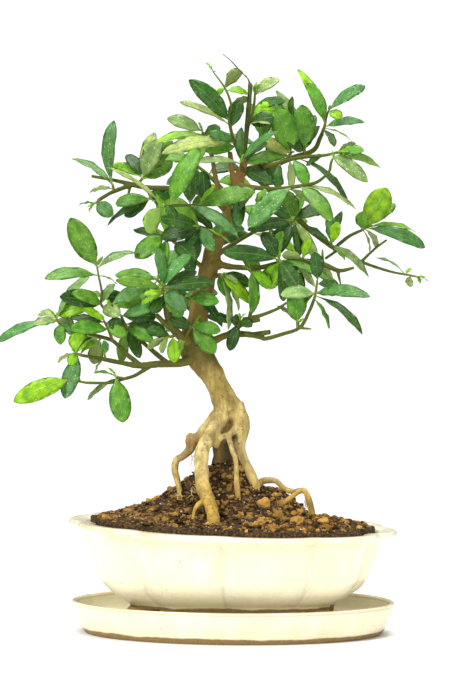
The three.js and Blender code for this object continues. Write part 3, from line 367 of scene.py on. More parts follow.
SAUCER_RIM, SAUCER_BARE_BELOW, SAUCER_WORN_AT = 21.5, 3.4, 19.6
saucer_glaze, colour, bare, _, crackle, grit, clouds = cream_glaze(
    "saucer_cream_glaze", SAUCER_BARE_BELOW, SAUCER_RIM
)
above_table = saucer_glaze.parts(saucer_glaze.place)[2]
below_rim = abs(above_table - SAUCER_WORN_AT * MM + (clouds - 0.5) * 0.001)
worn_line = saucer_glaze.between(below_rim, 0.0002, 0.0007, 1.0, 0.0)
colour = saucer_glaze.mix(worn_line * 0.45, colour, (0.45, 0.27, 0.10))
saucer_mesh = press.run("saucer", thrown(eased(SAUCER_PROFILE, 3), 192), {
    "Petals": 10, "Crease": 0.0, "Sharpness": 1.0, "Squareness": 0.0, "Depth At Lip": SAUCER_DEPTH,
    "Depth Fall": 0.0, "Lip": 0.1, "Slope": 0.0, "Floor": 0.0, "Wall": 1.0,
    "Material": laid(saucer_glaze, colour, bare, crackle, grit, clouds),
})
place_piece("saucer_dish", saucer_mesh, "saucer_glaze", "saucer")

# ---- Pot ----
# A lobed oval pot, cast in one piece with four feet and two drain holes, dipped in the same cream
# glaze. Its ten petals are pinched into the wall, and the underside and feet are bare clay.

PETALS = 10
CREASE = 0.05
CREASE_SHARPNESS = 1.6
POT_LIP = 110
POT_FLOOR, POT_RIM = 28, 73
POT_BARE_BELOW = 20.6
LIP_SLOPE = 0.032
POT_OUTSIDE = [
    (0, 19), (40, 19), (66, 19), (68.6, 19.4), (69.3, 20.2), (70.2, 21.8), (73, 23.3), (78, 26),
    (84, 30), (87, 32.6), (89.4, 35.6), (91.4, 38.6), (93, 42), (95.8, 48), (98.2, 55), (100.4, 62.4),
    (103.4, 66), (107.4, 68), (109.6, 69.8), (110, 71.2), (109.2, 72.6), (107, 73),
]
POT_INSIDE = [
    (103.5, 72.8), (100.2, 72), (98, 70.6), (96, 66), (94, 60), (90, 48), (84, 36), (78, 30), (72, 28),
    (40, 28), (0, 28),
]
POT_FEET = {"x": 59, "y": 27, "length": 16, "depth": 12, "taper": 0.85, "from": 10, "to": 20}
DRAIN_X, DRAIN_RADIUS = 35, 7

PRESSED_POT = {
    "Petals": PETALS, "Crease": CREASE, "Sharpness": CREASE_SHARPNESS, "Squareness": 1.2,
    "Depth At Lip": 0.8, "Depth Fall": 4.4, "Lip": POT_LIP * MM, "Slope": LIP_SLOPE,
    "Floor": POT_FLOOR * MM, "Wall": (POT_RIM - POT_FLOOR) * MM,
}
pot_glaze, colour, bare, pooled, crackle, grit, clouds = cream_glaze(
    "pot_cream_glaze", POT_BARE_BELOW, POT_RIM
)
colour = pot_glaze.mix(pooled * (1 - bare) * 0.45, colour, (0.56, 0.58, 0.40))
drills = bmesh.new()
drill_size = {"radius1": DRAIN_RADIUS * MM, "radius2": DRAIN_RADIUS * MM, "depth": 20 * MM}
for side in (-1, 1):
    bored_at = Matrix.Translation((side * DRAIN_X * MM, 0, POT_FLOOR * MM))
    bmesh.ops.create_cone(drills, cap_ends=True, segments=32, matrix=bored_at, **drill_size)
drill_mesh = bpy.data.meshes.new("drills")
drills.to_mesh(drill_mesh)
drill = bpy.data.objects.new("drills", drill_mesh)
bpy.context.collection.objects.link(drill)
pot_mesh = press.run(
    "pot", thrown(eased(POT_OUTSIDE + POT_INSIDE, 3), 320),
    {**PRESSED_POT, "Material": laid(pot_glaze, colour, bare, crackle, grit, clouds)},
    after=[("BOOLEAN", {"operation": "DIFFERENCE", "object": drill, "solver": "EXACT"})],
)
bpy.data.objects.remove(drill)
body = bmesh.new()
body.from_mesh(pot_mesh)
for side_x in (-1, 1):
    for side_y in (-1, 1):
        foot = bmesh.ops.create_cube(body, size=1)["verts"]
        for vert in foot:
            narrowed = POT_FEET["taper"] if vert.co.z < 0 else 1
            vert.co = Vector((
                side_x * POT_FEET["x"] + vert.co.x * POT_FEET["length"] * narrowed,
                side_y * POT_FEET["y"] + vert.co.y * POT_FEET["depth"] * narrowed,
                POT_FEET["from"] if vert.co.z < 0 else POT_FEET["to"],
            )) * MM
        rims = list({edge for vert in foot for edge in vert.link_edges})
        bmesh.ops.bevel(body, geom=rims, offset=1.6 * MM, segments=3, affect="EDGES", profile=0.6)
body.to_mesh(pot_mesh)
body.free()
place_piece("lobed_pot", pot_mesh, "pot_glaze", "pot")

# ---- Drain screens ----
# Two squares of black plastic mesh that lie on the pot's floor and keep the soil in.

screen_plastic = Finish("black_screen_plastic", roughness=0.55)
weave = screen_plastic.mottle(1200, 2)
screen_plastic.coloured(
    screen_plastic.mix(weave, (0.012, 0.012, 0.013), (0.035, 0.034, 0.03)),
    screen_plastic.between(weave, 0.3, 0.7, 0.45, 0.7),
)
screen_plastic.raised(weave, 0.1)
for name in ("drain_screen_left", "drain_screen_right"):
    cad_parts[name].data.materials.clear()
    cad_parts[name].data.materials.append(screen_plastic.material)

# ---- Soil ----
# Dark peaty compost that fills the pot and is mounded up round the roots, with crumbs, slips of
# chopped bark and white perlite in it, and fired clay grains strewn mostly over its right half.

SOIL_HALF = 96
SOIL_WALL = [(0, 28.2), (73, 28.2), (83.2, 36.2), (89.2, 48), (93.2, 61), (95.4, 68)]
SOIL_RINGS = 56
TOP_MARK = 90                        # the turned shell's top is held here until its height is set
MOUND = {"x": -3, "y": 4, "height": 33, "left": 42, "right": 24, "depth": 26, "crown": 8}
RIDGE = {"x": 33, "y": -3, "height": 13, "length": 15, "depth": 16}
LEVEL_FROM = (94, 69)                # half sizes of the oval whose edge the top's lumps die out at
STREWN_WITHIN = (93 * 0.985, 68 * 0.985)
GRAINS = {
    # the three largest clay grains: (x, y, half sizes, turn)
    "clay_grain_large": (23, -19, (4.6, 3.8, 3.9), 0.4),
    "clay_grain_right": (46, -32, (5.4, 4.2, 3.0), 1.2),
    "clay_grain_middle": (33, -27, (3.4, 3.2, 3.0), 2.1),
}
CLEAR_OF_GRAIN = 7.5                 # mm that smaller grains keep from the middle of a large one


def heap(x, y, middle, length, depth):
    """A round-topped heap, 1 high at its middle."""
    return math.exp(-(((x - middle["x"]) / length) ** 2) - ((y - middle["y"]) / depth) ** 2)


def soil_height(x, y):
    """How high the soil's top is there, in mm above the table."""
    spread = 1 - (x / 100) ** 2 - (y / 80) ** 2
    side = MOUND["right"] if x > MOUND["x"] else MOUND["left"]
    heaped = MOUND["height"] * heap(x, y, MOUND, side, MOUND["depth"])
    heaped += RIDGE["height"] * heap(x, y, RIDGE, RIDGE["length"], RIDGE["depth"])
    crumbs = 0.7 * math.sin(x / 4.1) * math.cos(y / 3.7)
    return POT_RIM - LIP_SLOPE * x + MOUND["crown"] * spread + heaped + crumbs


peat = Finish("dark_compost", roughness=0.95, specular_ior_level=0.25)
clods = peat.mottle(140, 5, rough=0.7)
crumb = peat.cells(520)
colour = peat.mix(peat.between(clods, 0.35, 0.65), (0.045, 0.024, 0.008), (0.22, 0.125, 0.040))
colour = peat.mix(peat.between(crumb, 0.1, 0.7), colour, (0.030, 0.018, 0.009))
flecks = peat.between(peat.cells(330), 0.08, 0.13, 1.0, 0.0)
colour = peat.mix(flecks * peat.between(peat.mottle(60), 0.5, 0.6) * 0.8, colour, (0.36, 0.19, 0.07))
peat.coloured(colour)
peat.raised(clods * 1.2 - crumb * 0.8, 1.6)

above = [(SOIL_HALF * (1 - ring / SOIL_RINGS) * 0.995, TOP_MARK) for ring in range(SOIL_RINGS)]
turned = thrown([*SOIL_WALL, *above, (0, TOP_MARK)], 200)
is_top = [vert.co.z > (TOP_MARK - 1) * MM for vert in turned.vertices]
soil_mesh = press.run("soil", turned, {**PRESSED_POT, "Material": peat.material})
for vert, top in zip(soil_mesh.vertices, is_top):
    if top:
        x, y = vert.co.x / MM, vert.co.y / MM
        inside = min(1, 12 * (1 - math.hypot(x / LEVEL_FROM[0], y / LEVEL_FROM[1])))
        lumps = noise.noise(vert.co * 130) * 1.5 + noise.noise(vert.co * 330) * 1.0
        vert.co.z = (soil_height(x, y) + lumps * max(inside, 0)) * MM
place_piece("compost", soil_mesh, "compost", "soil")

# Strews lumps over a patch of ground, half in it, each turned and stretched at random.
strew = Shaping("strew_lumps", {
    "Per Square Metre": float, "Apart": float, "Smallest": float, "Largest": float, "Flatness": float,
    "Seed": int, "Lumps": bpy.types.Collection, "Material": bpy.types.Material,
})
strewn = strew.put("GeometryNodeDistributePointsOnFaces", {"distribute_method": "POISSON"}, {
    "Mesh": strew.given["Geometry"], "Distance Min": strew.given["Apart"],
    "Density Max": strew.given["Per Square Metre"], "Density Factor": strew.attribute("share"),
    "Seed": strew.given["Seed"],
})
lumps = strew.put("GeometryNodeCollectionInfo", {}, {
    "Collection": strew.given["Lumps"], "Separate Children": True, "Reset Children": True,
})[0]
size = strew.chance(strew.given["Smallest"], strew.given["Largest"], strew.given["Seed"])
squash = strew.chance((0.7, 0.7, 0.6), (1.4, 1.15, 1.0), 3)
flat = strew.vector(1.0, 1.0, strew.given["Flatness"])
squash = strew.vectors("MULTIPLY", squash, flat)
turned_about = strew.chance((-0.6, -0.6, 0.0), (0.6, 0.6, 6.28), 5)
instances = strew.put("GeometryNodeInstanceOnPoints", {}, {
    "Points": strewn["Points"], "Instance": lumps, "Pick Instance": True,
    "Rotation": strew.put("FunctionNodeEulerToRotation", {}, {"Euler": turned_about})[0],
    "Scale": strew.vectors("SCALE", squash, scale=size),
})[0]
strew.ends_with(strew.stored(instances, "shade", strew.chance(0.0, 1.0, 9), "INSTANCE"))


def rough_lump(name, subdivisions, seed, roughness=0.3):
    """One unit-sized lump with knocked-off corners."""
    lump = bmesh.new()
    bmesh.ops.create_icosphere(lump, subdivisions=subdivisions, radius=1)
    for vert in lump.verts:
        vert.co *= 1 + roughness * noise.noise(vert.co * 1.6 + Vector((seed * 7.3, 0, 0)))
    mesh = bpy.data.meshes.new(name)
    lump.to_mesh(mesh)
    lump.free()
    return bpy.data.objects.new(name, mesh)


def lump_bin(name, subdivisions):
    """Four lumps of a kind, for the strewing to pick from."""
    lumps = bpy.data.collections.new(name)
    for seed in range(4):
        lumps.objects.link(rough_lump(f"{name}_{seed}", subdivisions, seed, 0.55))
    return lumps


def ground(share):
    """The soil's top as a patch of its own, with a share from 0 to 1 at each point."""
    patch = bmesh.new()
    patch.from_mesh(soil_mesh)
    under = [vert for vert, top in zip(patch.verts, is_top) if not top]
    bmesh.ops.delete(patch, geom=under, context="VERTS")
    mesh = bpy.data.meshes.new("ground")
    patch.to_mesh(mesh)
    patch.free()
    shares = []
    for vert in mesh.vertices:
        x, y = vert.co.x / MM, vert.co.y / MM
        within = math.hypot(x / STREWN_WITHIN[0], y / STREWN_WITHIN[1]) < 1
        shares.append(share(x, y) if within else 0.0)
    mesh.attributes.new("share", "FLOAT", "POINT").data.foreach_set("value", shares)
    return mesh


def lump_finish(name, light, dark):
    """A dull finish between two colours, by each lump's own shade."""
    finish = Finish(name, roughness=0.9, specular_ior_level=0.12)
    grain = finish.mottle(700, 3)
    lightness = finish.between(finish.note("shade") + (grain - 0.5) * 0.9, 0.1, 0.9)
    finish.coloured(finish.mix(lightness, dark, light))
    finish.raised(grain, 0.25)
    return finish.material


def mostly_right(x, y):
    """The fired grains lie thickest in front of the roots and to the right, clear of the largest."""
    if any(math.hypot(x - grain[0], y - grain[1]) < CLEAR_OF_GRAIN for grain in GRAINS.values()):
        return 0.0
    return 0.10 + 0.9 * math.exp(-(((x - 40) / 32) ** 2) - ((y + 26) / 22) ** 2)


small_lumps, big_lumps = lump_bin("crumb", 1), lump_bin("grain", 2)
crumb_brown = lump_finish("peat_crumb", (0.33, 0.19, 0.058), (0.030, 0.017, 0.006))
grain_ochre = lump_finish("fired_clay_grain", (0.56, 0.32, 0.075), (0.21, 0.10, 0.018))
perlite_white = lump_finish("perlite", (0.78, 0.74, 0.64), (0.50, 0.42, 0.30))
bark_slip = lump_finish("bark_slip", (0.09, 0.05, 0.018), (0.014, 0.009, 0.005))
STREWN = [
    # name, per m2, mm apart, smallest and largest half size in mm, flatness, seed, lumps, finish, where
    ("soil_crumbs", 125000, 1.1, 0.6, 1.7, 0.8, 1, small_lumps, crumb_brown, lambda x, y: 1.0),
    ("soil_clods", 16000, 3.6, 1.6, 3.0, 0.8, 2, big_lumps, crumb_brown, lambda x, y: 0.7),
    ("bark_slips", 16000, 3.0, 1.2, 3.2, 0.35, 6, small_lumps, bark_slip, lambda x, y: 0.8),
    ("perlite_specks", 9000, 2.0, 0.35, 0.9, 0.9, 4, small_lumps, perlite_white, lambda x, y: 0.7),
    ("fired_grains", 60000, 4.2, 1.5, 3.4, 0.9, 8, big_lumps, grain_ochre, mostly_right),
    ("fired_crumbs", 60000, 1.6, 0.5, 1.3, 0.85, 11, small_lumps, grain_ochre,
     lambda x, y: 0.25 + 0.5 * mostly_right(x, y)),
]
for name, per_metre, apart, smallest, largest, flatness, seed, lumps, finish, share in STREWN:
    strewn_mesh = strew.run(name, ground(share), {
        "Per Square Metre": float(per_metre), "Apart": apart * MM, "Smallest": smallest * MM,
        "Largest": largest * MM, "Flatness": flatness, "Seed": seed, "Lumps": lumps, "Material": finish,
    })
    place_piece(name, strewn_mesh, "fired_grain" if "fired" in name else "compost", smooth=False)

# ---- Large clay grains ----
# Three fired clay grains big enough to count, each lying half sunk in the soil.

GRAIN_SHOWING = 0.35                 # a grain's middle is this share of its half height above the soil
for seed, (node, (x, y, halves, turn)) in enumerate(GRAINS.items()):
    lump = rough_lump(node, 4, seed + 3, 0.28)
    for vert in lump.data.vertices:
        chips = 1 + 0.05 * noise.noise(vert.co * 4)
        vert.co = Vector([c * half * chips for c, half in zip(vert.co, halves)])
    about = Matrix.Rotation(turn / 3, 4, "X") @ Matrix.Rotation(turn, 4, "Z")
    rests = Vector((x, y, soil_height(x, y) + halves[2] * GRAIN_SHOWING))
    lump.data.transform(Matrix.Scale(MM, 4) @ Matrix.Translation(rests) @ about)
    shades = lump.data.attributes.new("shade", "FLOAT", "POINT")
    shades.data.foreach_set("value", [0.75 - 0.2 * seed] * len(lump.data.vertices))
    place_piece(node + "_stone", lump.data, "fired_grain", node, material=grain_ochre)
    bpy.data.objects.remove(lump)

# ---- Trunk and roots ----
# One grown piece: a leaning trunk with old saw cuts, and the thick roots that it stands on, laid
# bare as on a root-over-soil tree. Its bark is smooth and tan, olive higher up, with fine specks.

TREE_TURN = math.radians(6)          # the tree's front is turned this much about the pot
TRUNK_X = -10                        # where the trunk stands, for the lean of the limbs
EYE_AWAY, EYE_HEIGHT = 2000, 278     # the tree is drawn as an eye there sees it, in mm
# Each limb is a line of (x, y, z, half thickness) points in mm, drawn from the tree's front.
TRUNK = [
    [
        [-2, 0, 149, 9.5], [-7, 0, 160, 8], [-12, 1, 170, 7.8], [-19, 2, 181, 9], [-25, 2, 191, 10.5],
        [-25, 2, 201, 8.6], [-22.5, 2, 212, 6.6], [-21.5, 2, 223, 6.4], [-18, 2, 235, 6.2],
        [-15, 2, 247, 6], [-12, 2, 259, 5.8], [-8, 2, 269, 5], [-3, 2, 279, 4.6], [1, 2, 291, 4.4],
        [4, 2, 302, 4.2], [6, 2, 311, 3.2],
    ],
    [
        [-12, 0, 259, 4], [-17, -3, 266, 3.2],
    ],
    [
        [-11, 0, 247, 4], [-7, -1, 245.5, 3],
    ],
    [
        [5, 2, 306, 3], [9, 1, 316, 2.3], [14, 0, 321, 2],
    ],
    [
        [5, 3, 302, 3], [7, 4, 314, 2.4], [9, 4, 330, 1.9], [12, 4, 367, 1.8],
    ],
    [
        [11.7, 4, 364, 1], [10.5, 3.5, 370, 0.8], [5, 2, 375.6, 0.7], [-2, 1, 383, 0.65],
        [-10, 0, 389.5, 0.5],
    ],
    [
        [3, 2, 296, 3], [0.5, -2, 303, 2], [-1.7, -3, 322, 1.8],
    ],
    [
        [-2, 3, 281, 3], [-8, 5, 293, 2.2], [-11, 5, 304, 1.8], [-14.5, 5, 323, 1.7],
    ],
    [
        [-5, -2, 152, 7], [-9, -5, 142, 5.6], [-14, -9, 133.5, 5], [-19, -14, 125, 4.7],
        [-20.5, -19, 115.5, 4.6], [-20.5, -24, 106, 4.6], [-19, -30, 95.5, 4.9], [-15.5, -37, 86.5, 4.6],
        [-13, -43, 79, 4.1], [-12.5, -46, 69, 4.2],
    ],
    [
        [-16.5, -36, 88.5, 2.4], [-21.5, -40, 87, 2], [-25.5, -43, 82, 1.6], [-27, -45, 72.5, 1.2],
    ],
    [
        [1, 0, 152, 7], [5, -1, 143, 6.2], [5.2, -1, 134, 5.6], [4.5, -1, 126, 4.4], [7.5, -3, 117, 3.2],
        [11.5, -5, 108.5, 3.2], [14.5, -7, 101, 3.4], [18, -9.5, 90, 3.2],
    ],
    [
        [3, -3, 137, 3], [-0.5, -7, 134, 2.4], [-2.3, -9, 131, 1.9], [-0.5, -12, 123, 1.8],
        [2, -15, 116, 1.8], [2.6, -17, 106.5, 1.8], [3, -19, 97.5, 2], [4.5, -22, 86, 2],
    ],
    [
        [-1.8, -8, 133, 2], [-6.5, -10, 131.5, 2], [-9.5, -11, 128, 1.9], [-11.2, -12, 123.5, 1.8],
    ],
    [
        [-8, 2, 148, 5], [-14, 2, 142, 3.8], [-19, 1, 136, 3.6], [-23, 0, 130, 3.6],
        [-27.5, 0, 128.8, 4.4], [-28, -1, 124, 3.4], [-32, -2, 119, 2.9], [-37.5, -3, 115.5, 2.5],
        [-38.5, -5, 109, 2.4], [-37, -8, 102, 2.2], [-35, -11, 93, 1.9], [-35, -13, 84.5, 1.6],
    ],
    [
        [-27, 0, 131, 3.6], [-30.5, -1, 129.5, 2.6],
    ],
    [
        [-4, 4, 148, 5], [-8, 12, 135, 4.6], [-9, 20, 121.5, 4.2], [-10, 29, 106.5, 4],
        [-11, 35, 95, 3.5],
    ],
    [
        [5, 3, 140, 4], [5, 12, 127, 3.6], [3, 22, 114, 3.4], [3, 31, 99, 3],
    ],
    [
        [0, 6, 141, 5], [-4, 10, 129, 6], [-6, 12, 117, 7], [-6, 14, 105, 8], [-6, 15, 93, 8],
    ],
    [
        [14, -6.5, 100, 2.8], [17, -3, 98.5, 2.5], [20.5, 0, 101.8, 2.2], [29, -2, 101.5, 2],
        [34, -5, 97, 1.9], [40, -11, 94.5, 1.8], [45.5, -18, 95.5, 1.8],
    ],
    [
        [31.5, -19, 84, 1.4], [34.5, -19, 87, 1.7], [40.5, -20, 91.5, 1.9], [47.5, -21, 95.5, 1.9],
        [51, -22, 89, 2.2], [53.5, -23, 78.5, 2.2],
    ],
]


def stood(point, lean=0):
    """A drawn point put where it stands, leaned to the back (or the front, below zero), in metres."""
    x, y, z = point[:3]
    y += lean * abs(x - TRUNK_X) / 100
    spread = 1 + y / EYE_AWAY
    x, z = x * spread, EYE_HEIGHT + (z - EYE_HEIGHT) * spread
    cos, sin = math.cos(TREE_TURN), math.sin(TREE_TURN)
    return Vector((x * cos - y * sin, x * sin + y * cos, z)) * MM


# Draws a round, tapering, closed limb along each line of a mesh.
grow = Shaping("grow_limbs", {"Sides": int, "Smoothness": int, "Material": bpy.types.Material})
lines = grow.put("GeometryNodeMeshToCurve", {}, {"Mesh": grow.given["Geometry"]})[0]
lines = grow.put("GeometryNodeCurveSplineType", {"spline_type": "CATMULL_ROM"}, {"Curve": lines})[0]
smoothed = {"Geometry": lines, "Resolution": grow.given["Smoothness"]}
lines = grow.put("GeometryNodeSetSplineResolution", {}, smoothed)[0]
lines = grow.stored(lines, "along", grow.put("GeometryNodeSplineParameter")["Length"])
girth = grow.attribute("girth")
outline = {"Resolution": grow.given["Sides"], "Radius": 1.0}
ring = grow.put("GeometryNodeCurvePrimitiveCircle", {}, outline)[0]
swept = {"Curve": lines, "Profile Curve": ring, "Scale": girth, "Fill Caps": True}
grow.ends_with(grow.put("GeometryNodeCurveToMesh", {}, swept)[0])


def limb_lines(tubes, lean=0):
    """The limbs' middle lines as a mesh of edges, with the half thickness at each point."""
    points = [stood(point, lean) for tube in tubes for point in tube]
    edges, start = [], 0
    for tube in tubes:
        edges += [(start + i, start + i + 1) for i in range(len(tube) - 1)]
        start += len(tube)
    mesh = bpy.data.meshes.new("lines")
    mesh.from_pydata(points, edges, [])
    girths = [point[3] * MM for tube in tubes for point in tube]
    mesh.attributes.new("girth", "FLOAT", "POINT").data.foreach_set("value", girths)
    return mesh


def follow_limbs(mesh, tubes, lean=0):
    """Gives a merged limb mesh its length along, and half thickness of, the nearest limb."""
    spots = np.empty(len(mesh.vertices) * 3)
    mesh.vertices.foreach_get("co", spots)
    spots = spots.reshape(-1, 3)
    best = np.full(len(spots), 1e9)
    found = np.zeros((len(spots), 3))
    for number, tube in enumerate(tubes):
        run = 0.0
        for one, other in zip(tube, tube[1:]):
            start, end = np.array(stood(one, lean)), np.array(stood(other, lean))
            line = end - start
            length = np.linalg.norm(line)
            share = np.clip(((spots - start) @ line) / length ** 2, 0, 1)
            girth = (one[3] + (other[3] - one[3]) * share) * MM
            away = np.linalg.norm(spots - start - share[:, None] * line, axis=1) / girth
            closer = away < best
            best[closer] = away[closer]
            values = np.stack([run + share * length, girth, np.full(len(spots), number)], axis=1)
            found[closer] = values[closer]
            run += length
    for column, name in enumerate(("along", "girth", "limb")):
        if name in mesh.attributes:
            mesh.attributes.remove(mesh.attributes[name])
        mesh.attributes.new(name, "FLOAT", "POINT").data.foreach_set("value", found[:, column])


def knobble(mesh, ridges_mm, knots_mm):
    """Raises bark: long low ridges, and swellings where buds and roots once were."""
    mesh.update()
    girths = mesh.attributes["girth"].data
    moved = []
    for vert in mesh.vertices:
        spot = vert.co / MM
        girth = girths[vert.index].value / MM
        ridge = noise.noise(Vector((spot.x / 2.2, spot.y / 2.2, spot.z / 16))) * ridges_mm
        knot = noise.noise(spot / 9) * knots_mm
        moved.append(vert.co + vert.normal * (ridge + knot) * min(1, girth / 5) * MM)
    for vert, spot in zip(mesh.vertices, moved):
        vert.co = spot


bark = Finish("tan_bark", roughness=0.9, specular_ior_level=0.07)
_, depth, height = bark.parts(bark.place)


def near_drawn(spot, reach):
    """1 on the bark close to a drawn point, falling to 0 at the reach in mm."""
    return bark.near(tuple(stood(spot) / MM), reach)


grain = bark.mottle(330, 5, bark.stretched(1, 1, 0.22), 0.62)
patches = bark.mottle(75, 4, bark.stretched(1, 1, 0.55))
fine = bark.mottle(1300, 3)
olive = bark.between(height + (patches - 0.5) * 0.06, 0.152, 0.192)
colour = bark.mix(bark.between(patches, 0.35, 0.65), (0.85, 0.69, 0.31), (0.56, 0.41, 0.13))
stem_tan = bark.between(height, 0.140, 0.162)
colour = bark.mix(stem_tan, colour, bark.mix(1.0, colour, (0.76, 0.70, 0.50), "MULTIPLY"))
upper = bark.mix(bark.between(patches, 0.3, 0.7), (0.27, 0.195, 0.030), (0.080, 0.066, 0.008))
colour = bark.mix(olive * 0.92, colour, upper)
buried = bark.between(height + (patches - 0.5) * 0.02, 0.090, 0.116, 1.0, 0.0)
colour = bark.mix(buried * 0.85, colour, (0.55, 0.33, 0.04))
# Painted shade: the sides and backs of the roots below the trunk, and the hollow behind them, are darkened
# to a shaded dark-wood brown.
painted_shade = bark.between(depth, 0.001, 0.006) * bark.between(height, 0.128, 0.145, 1.0, 0.0)
painted_shade = bark.between(painted_shade + near_drawn((-5, 11, 113), 19), 0.0, 0.8)
shaded_wood = bark.mix(bark.between(patches, 0.45, 0.6), (0.035, 0.020, 0.008), (0.20, 0.10, 0.02))
colour = bark.mix(painted_shade * 0.95, colour, shaded_wood)
colour = bark.mix(bark.between(grain, 0.40, 0.60) * 0.50, colour, (0.12, 0.075, 0.022))
stains = bark.between(bark.mottle(55, 5, bark.stretched(1, 1, 0.7), 0.7), 0.52, 0.64)
colour = bark.mix(stains * 0.62, colour, (0.15, 0.105, 0.026))
pits = bark.between(bark.cells(420, where=bark.stretched(0.7, 0.7, 1.5)), 0.12, 0.24, 1.0, 0.0)
pits = pits * bark.between(bark.mottle(120, 2), 0.42, 0.58)
colour = bark.mix(pits * 0.75, colour, (0.10, 0.065, 0.02))
collar = near_drawn((-23, -6, 192), 20) * bark.between(patches + fine * 0.3, 0.45, 0.75, 0.6, 1.0)
colour = bark.mix(collar * 0.95, colour, (0.070, 0.062, 0.010))
# Painted shade: a dark spot in a small hollow of the bark where the roots part.
colour = bark.mix(near_drawn((1, -3, 132), 5) * 0.8, colour, (0.04, 0.022, 0.010))
OLD_KNOT, SAW_CUT = (0.24, 0.12, 0.05), (0.45, 0.20, 0.06)
RUSTY = [
    # drawn (x, y, z), reach and share of the stain, and its colour
    ((-28, 0, 129), 8, 0.7, OLD_KNOT), ((-15, -3, 266), 7, 0.8, SAW_CUT), ((-7, -1, 246), 6, 0.8, SAW_CUT),
    ((4, 2, 308), 17, 0.75, SAW_CUT), ((2, -16, 96), 9, 0.6, OLD_KNOT), ((22, -2, 101), 10, 0.5, OLD_KNOT),
    ((-29, 0, 122), 9, 0.6, OLD_KNOT),
]
for spot, reach, share, rust in RUSTY:
    patchy = bark.between(patches + fine * 0.3, 0.5, 0.8, 0.5, 1.0)
    colour = bark.mix(near_drawn(spot, reach) * share * patchy, colour, rust)
shoots_green = bark.between(height, 0.312, 0.326)
green_bark = bark.mix(grain, (0.018, 0.050, 0.006), (0.050, 0.105, 0.015))
colour = bark.mix(shoots_green * 0.9, colour, green_bark)
bark.coloured(bark.mix(bark.between(fine, 0.3, 0.75) * 0.10, colour, (0.72, 0.62, 0.36)))
bark.raised(grain * 0.7 + fine * 0.2 - pits * 0.6 + patches * 0.5, 0.5)

VOXEL = 0.85
fused = [
    ("REMESH", {"mode": "VOXEL", "voxel_size": VOXEL * MM}),
    ("SMOOTH", {"factor": 0.5, "iterations": 4}),
]
trunk_mesh = grow.run(
    "trunk", limb_lines(TRUNK), {"Sides": 16, "Smoothness": 5, "Material": bark.material}, after=fused
)
follow_limbs(trunk_mesh, TRUNK)
knobble(trunk_mesh, 0.5, 1.0)
place_piece("bark_and_roots", trunk_mesh, "bark", "trunk_and_roots", material=bark.material)

# Root hairs: thread-thin side roots that hang and cling where the thick roots meet the soil.
HAIR_TUFTS = [
    # start (x, y, z) in mm, hairs, length and spread in mm, half thickness
    ((-35, -13, 92), 7, 13, 5, 0.28), ((-28, -16, 97), 7, 17, 5, 0.28), ((-27, -2, 119), 6, 20, 4, 0.14),
    ((-17, -37, 90), 5, 14, 4, 0.22), ((2.6, -18, 103), 4, 10, 4, 0.16), ((14, 10, 98), 5, 12, 6, 0.2),
    ((49, -22, 88), 5, 9, 5, 0.2), ((32, -19, 90), 4, 8, 5, 0.2), ((40, -12, 95), 5, 9, 6, 0.16),
    ((6, 0, 112), 8, 16, 8, 0.14),
]
chance = np.random.default_rng(41)
hairs = []
for start, count, length, spread, half in HAIR_TUFTS:
    for _ in range(count):
        spot = np.array(start, float) + chance.normal(0, 1.2, 3)
        drift = chance.normal(0, spread / 5, 3)
        hair = []
        for step in range(6):
            hair.append((*spot, half * (1 - 0.13 * step)))
            drift = 0.7 * drift + chance.normal(0, spread / 7, 3)
            spot = spot + drift + np.array((0, -0.25, -length / 6))
            floor = soil_height(spot[0], spot[1]) + 0.5
            spot[2] = max(spot[2], floor)
        hairs.append(hair)
hair_finish = Finish("root_hair", roughness=0.7)
hair_finish.coloured(hair_finish.mix(
    hair_finish.between(hair_finish.mottle(70), 0.42, 0.6), (0.62, 0.48, 0.20), (0.36, 0.16, 0.045)))
hair_values = {"Sides": 5, "Smoothness": 2, "Material": hair_finish.material}
hair_mesh = grow.run("hairs", limb_lines(hairs), hair_values)
place_piece("root_hairs", hair_mesh, "bark")

# ---- Branches ----
# Seven branches that fork from the trunk, with grey-olive bark that is greener where it is thin.

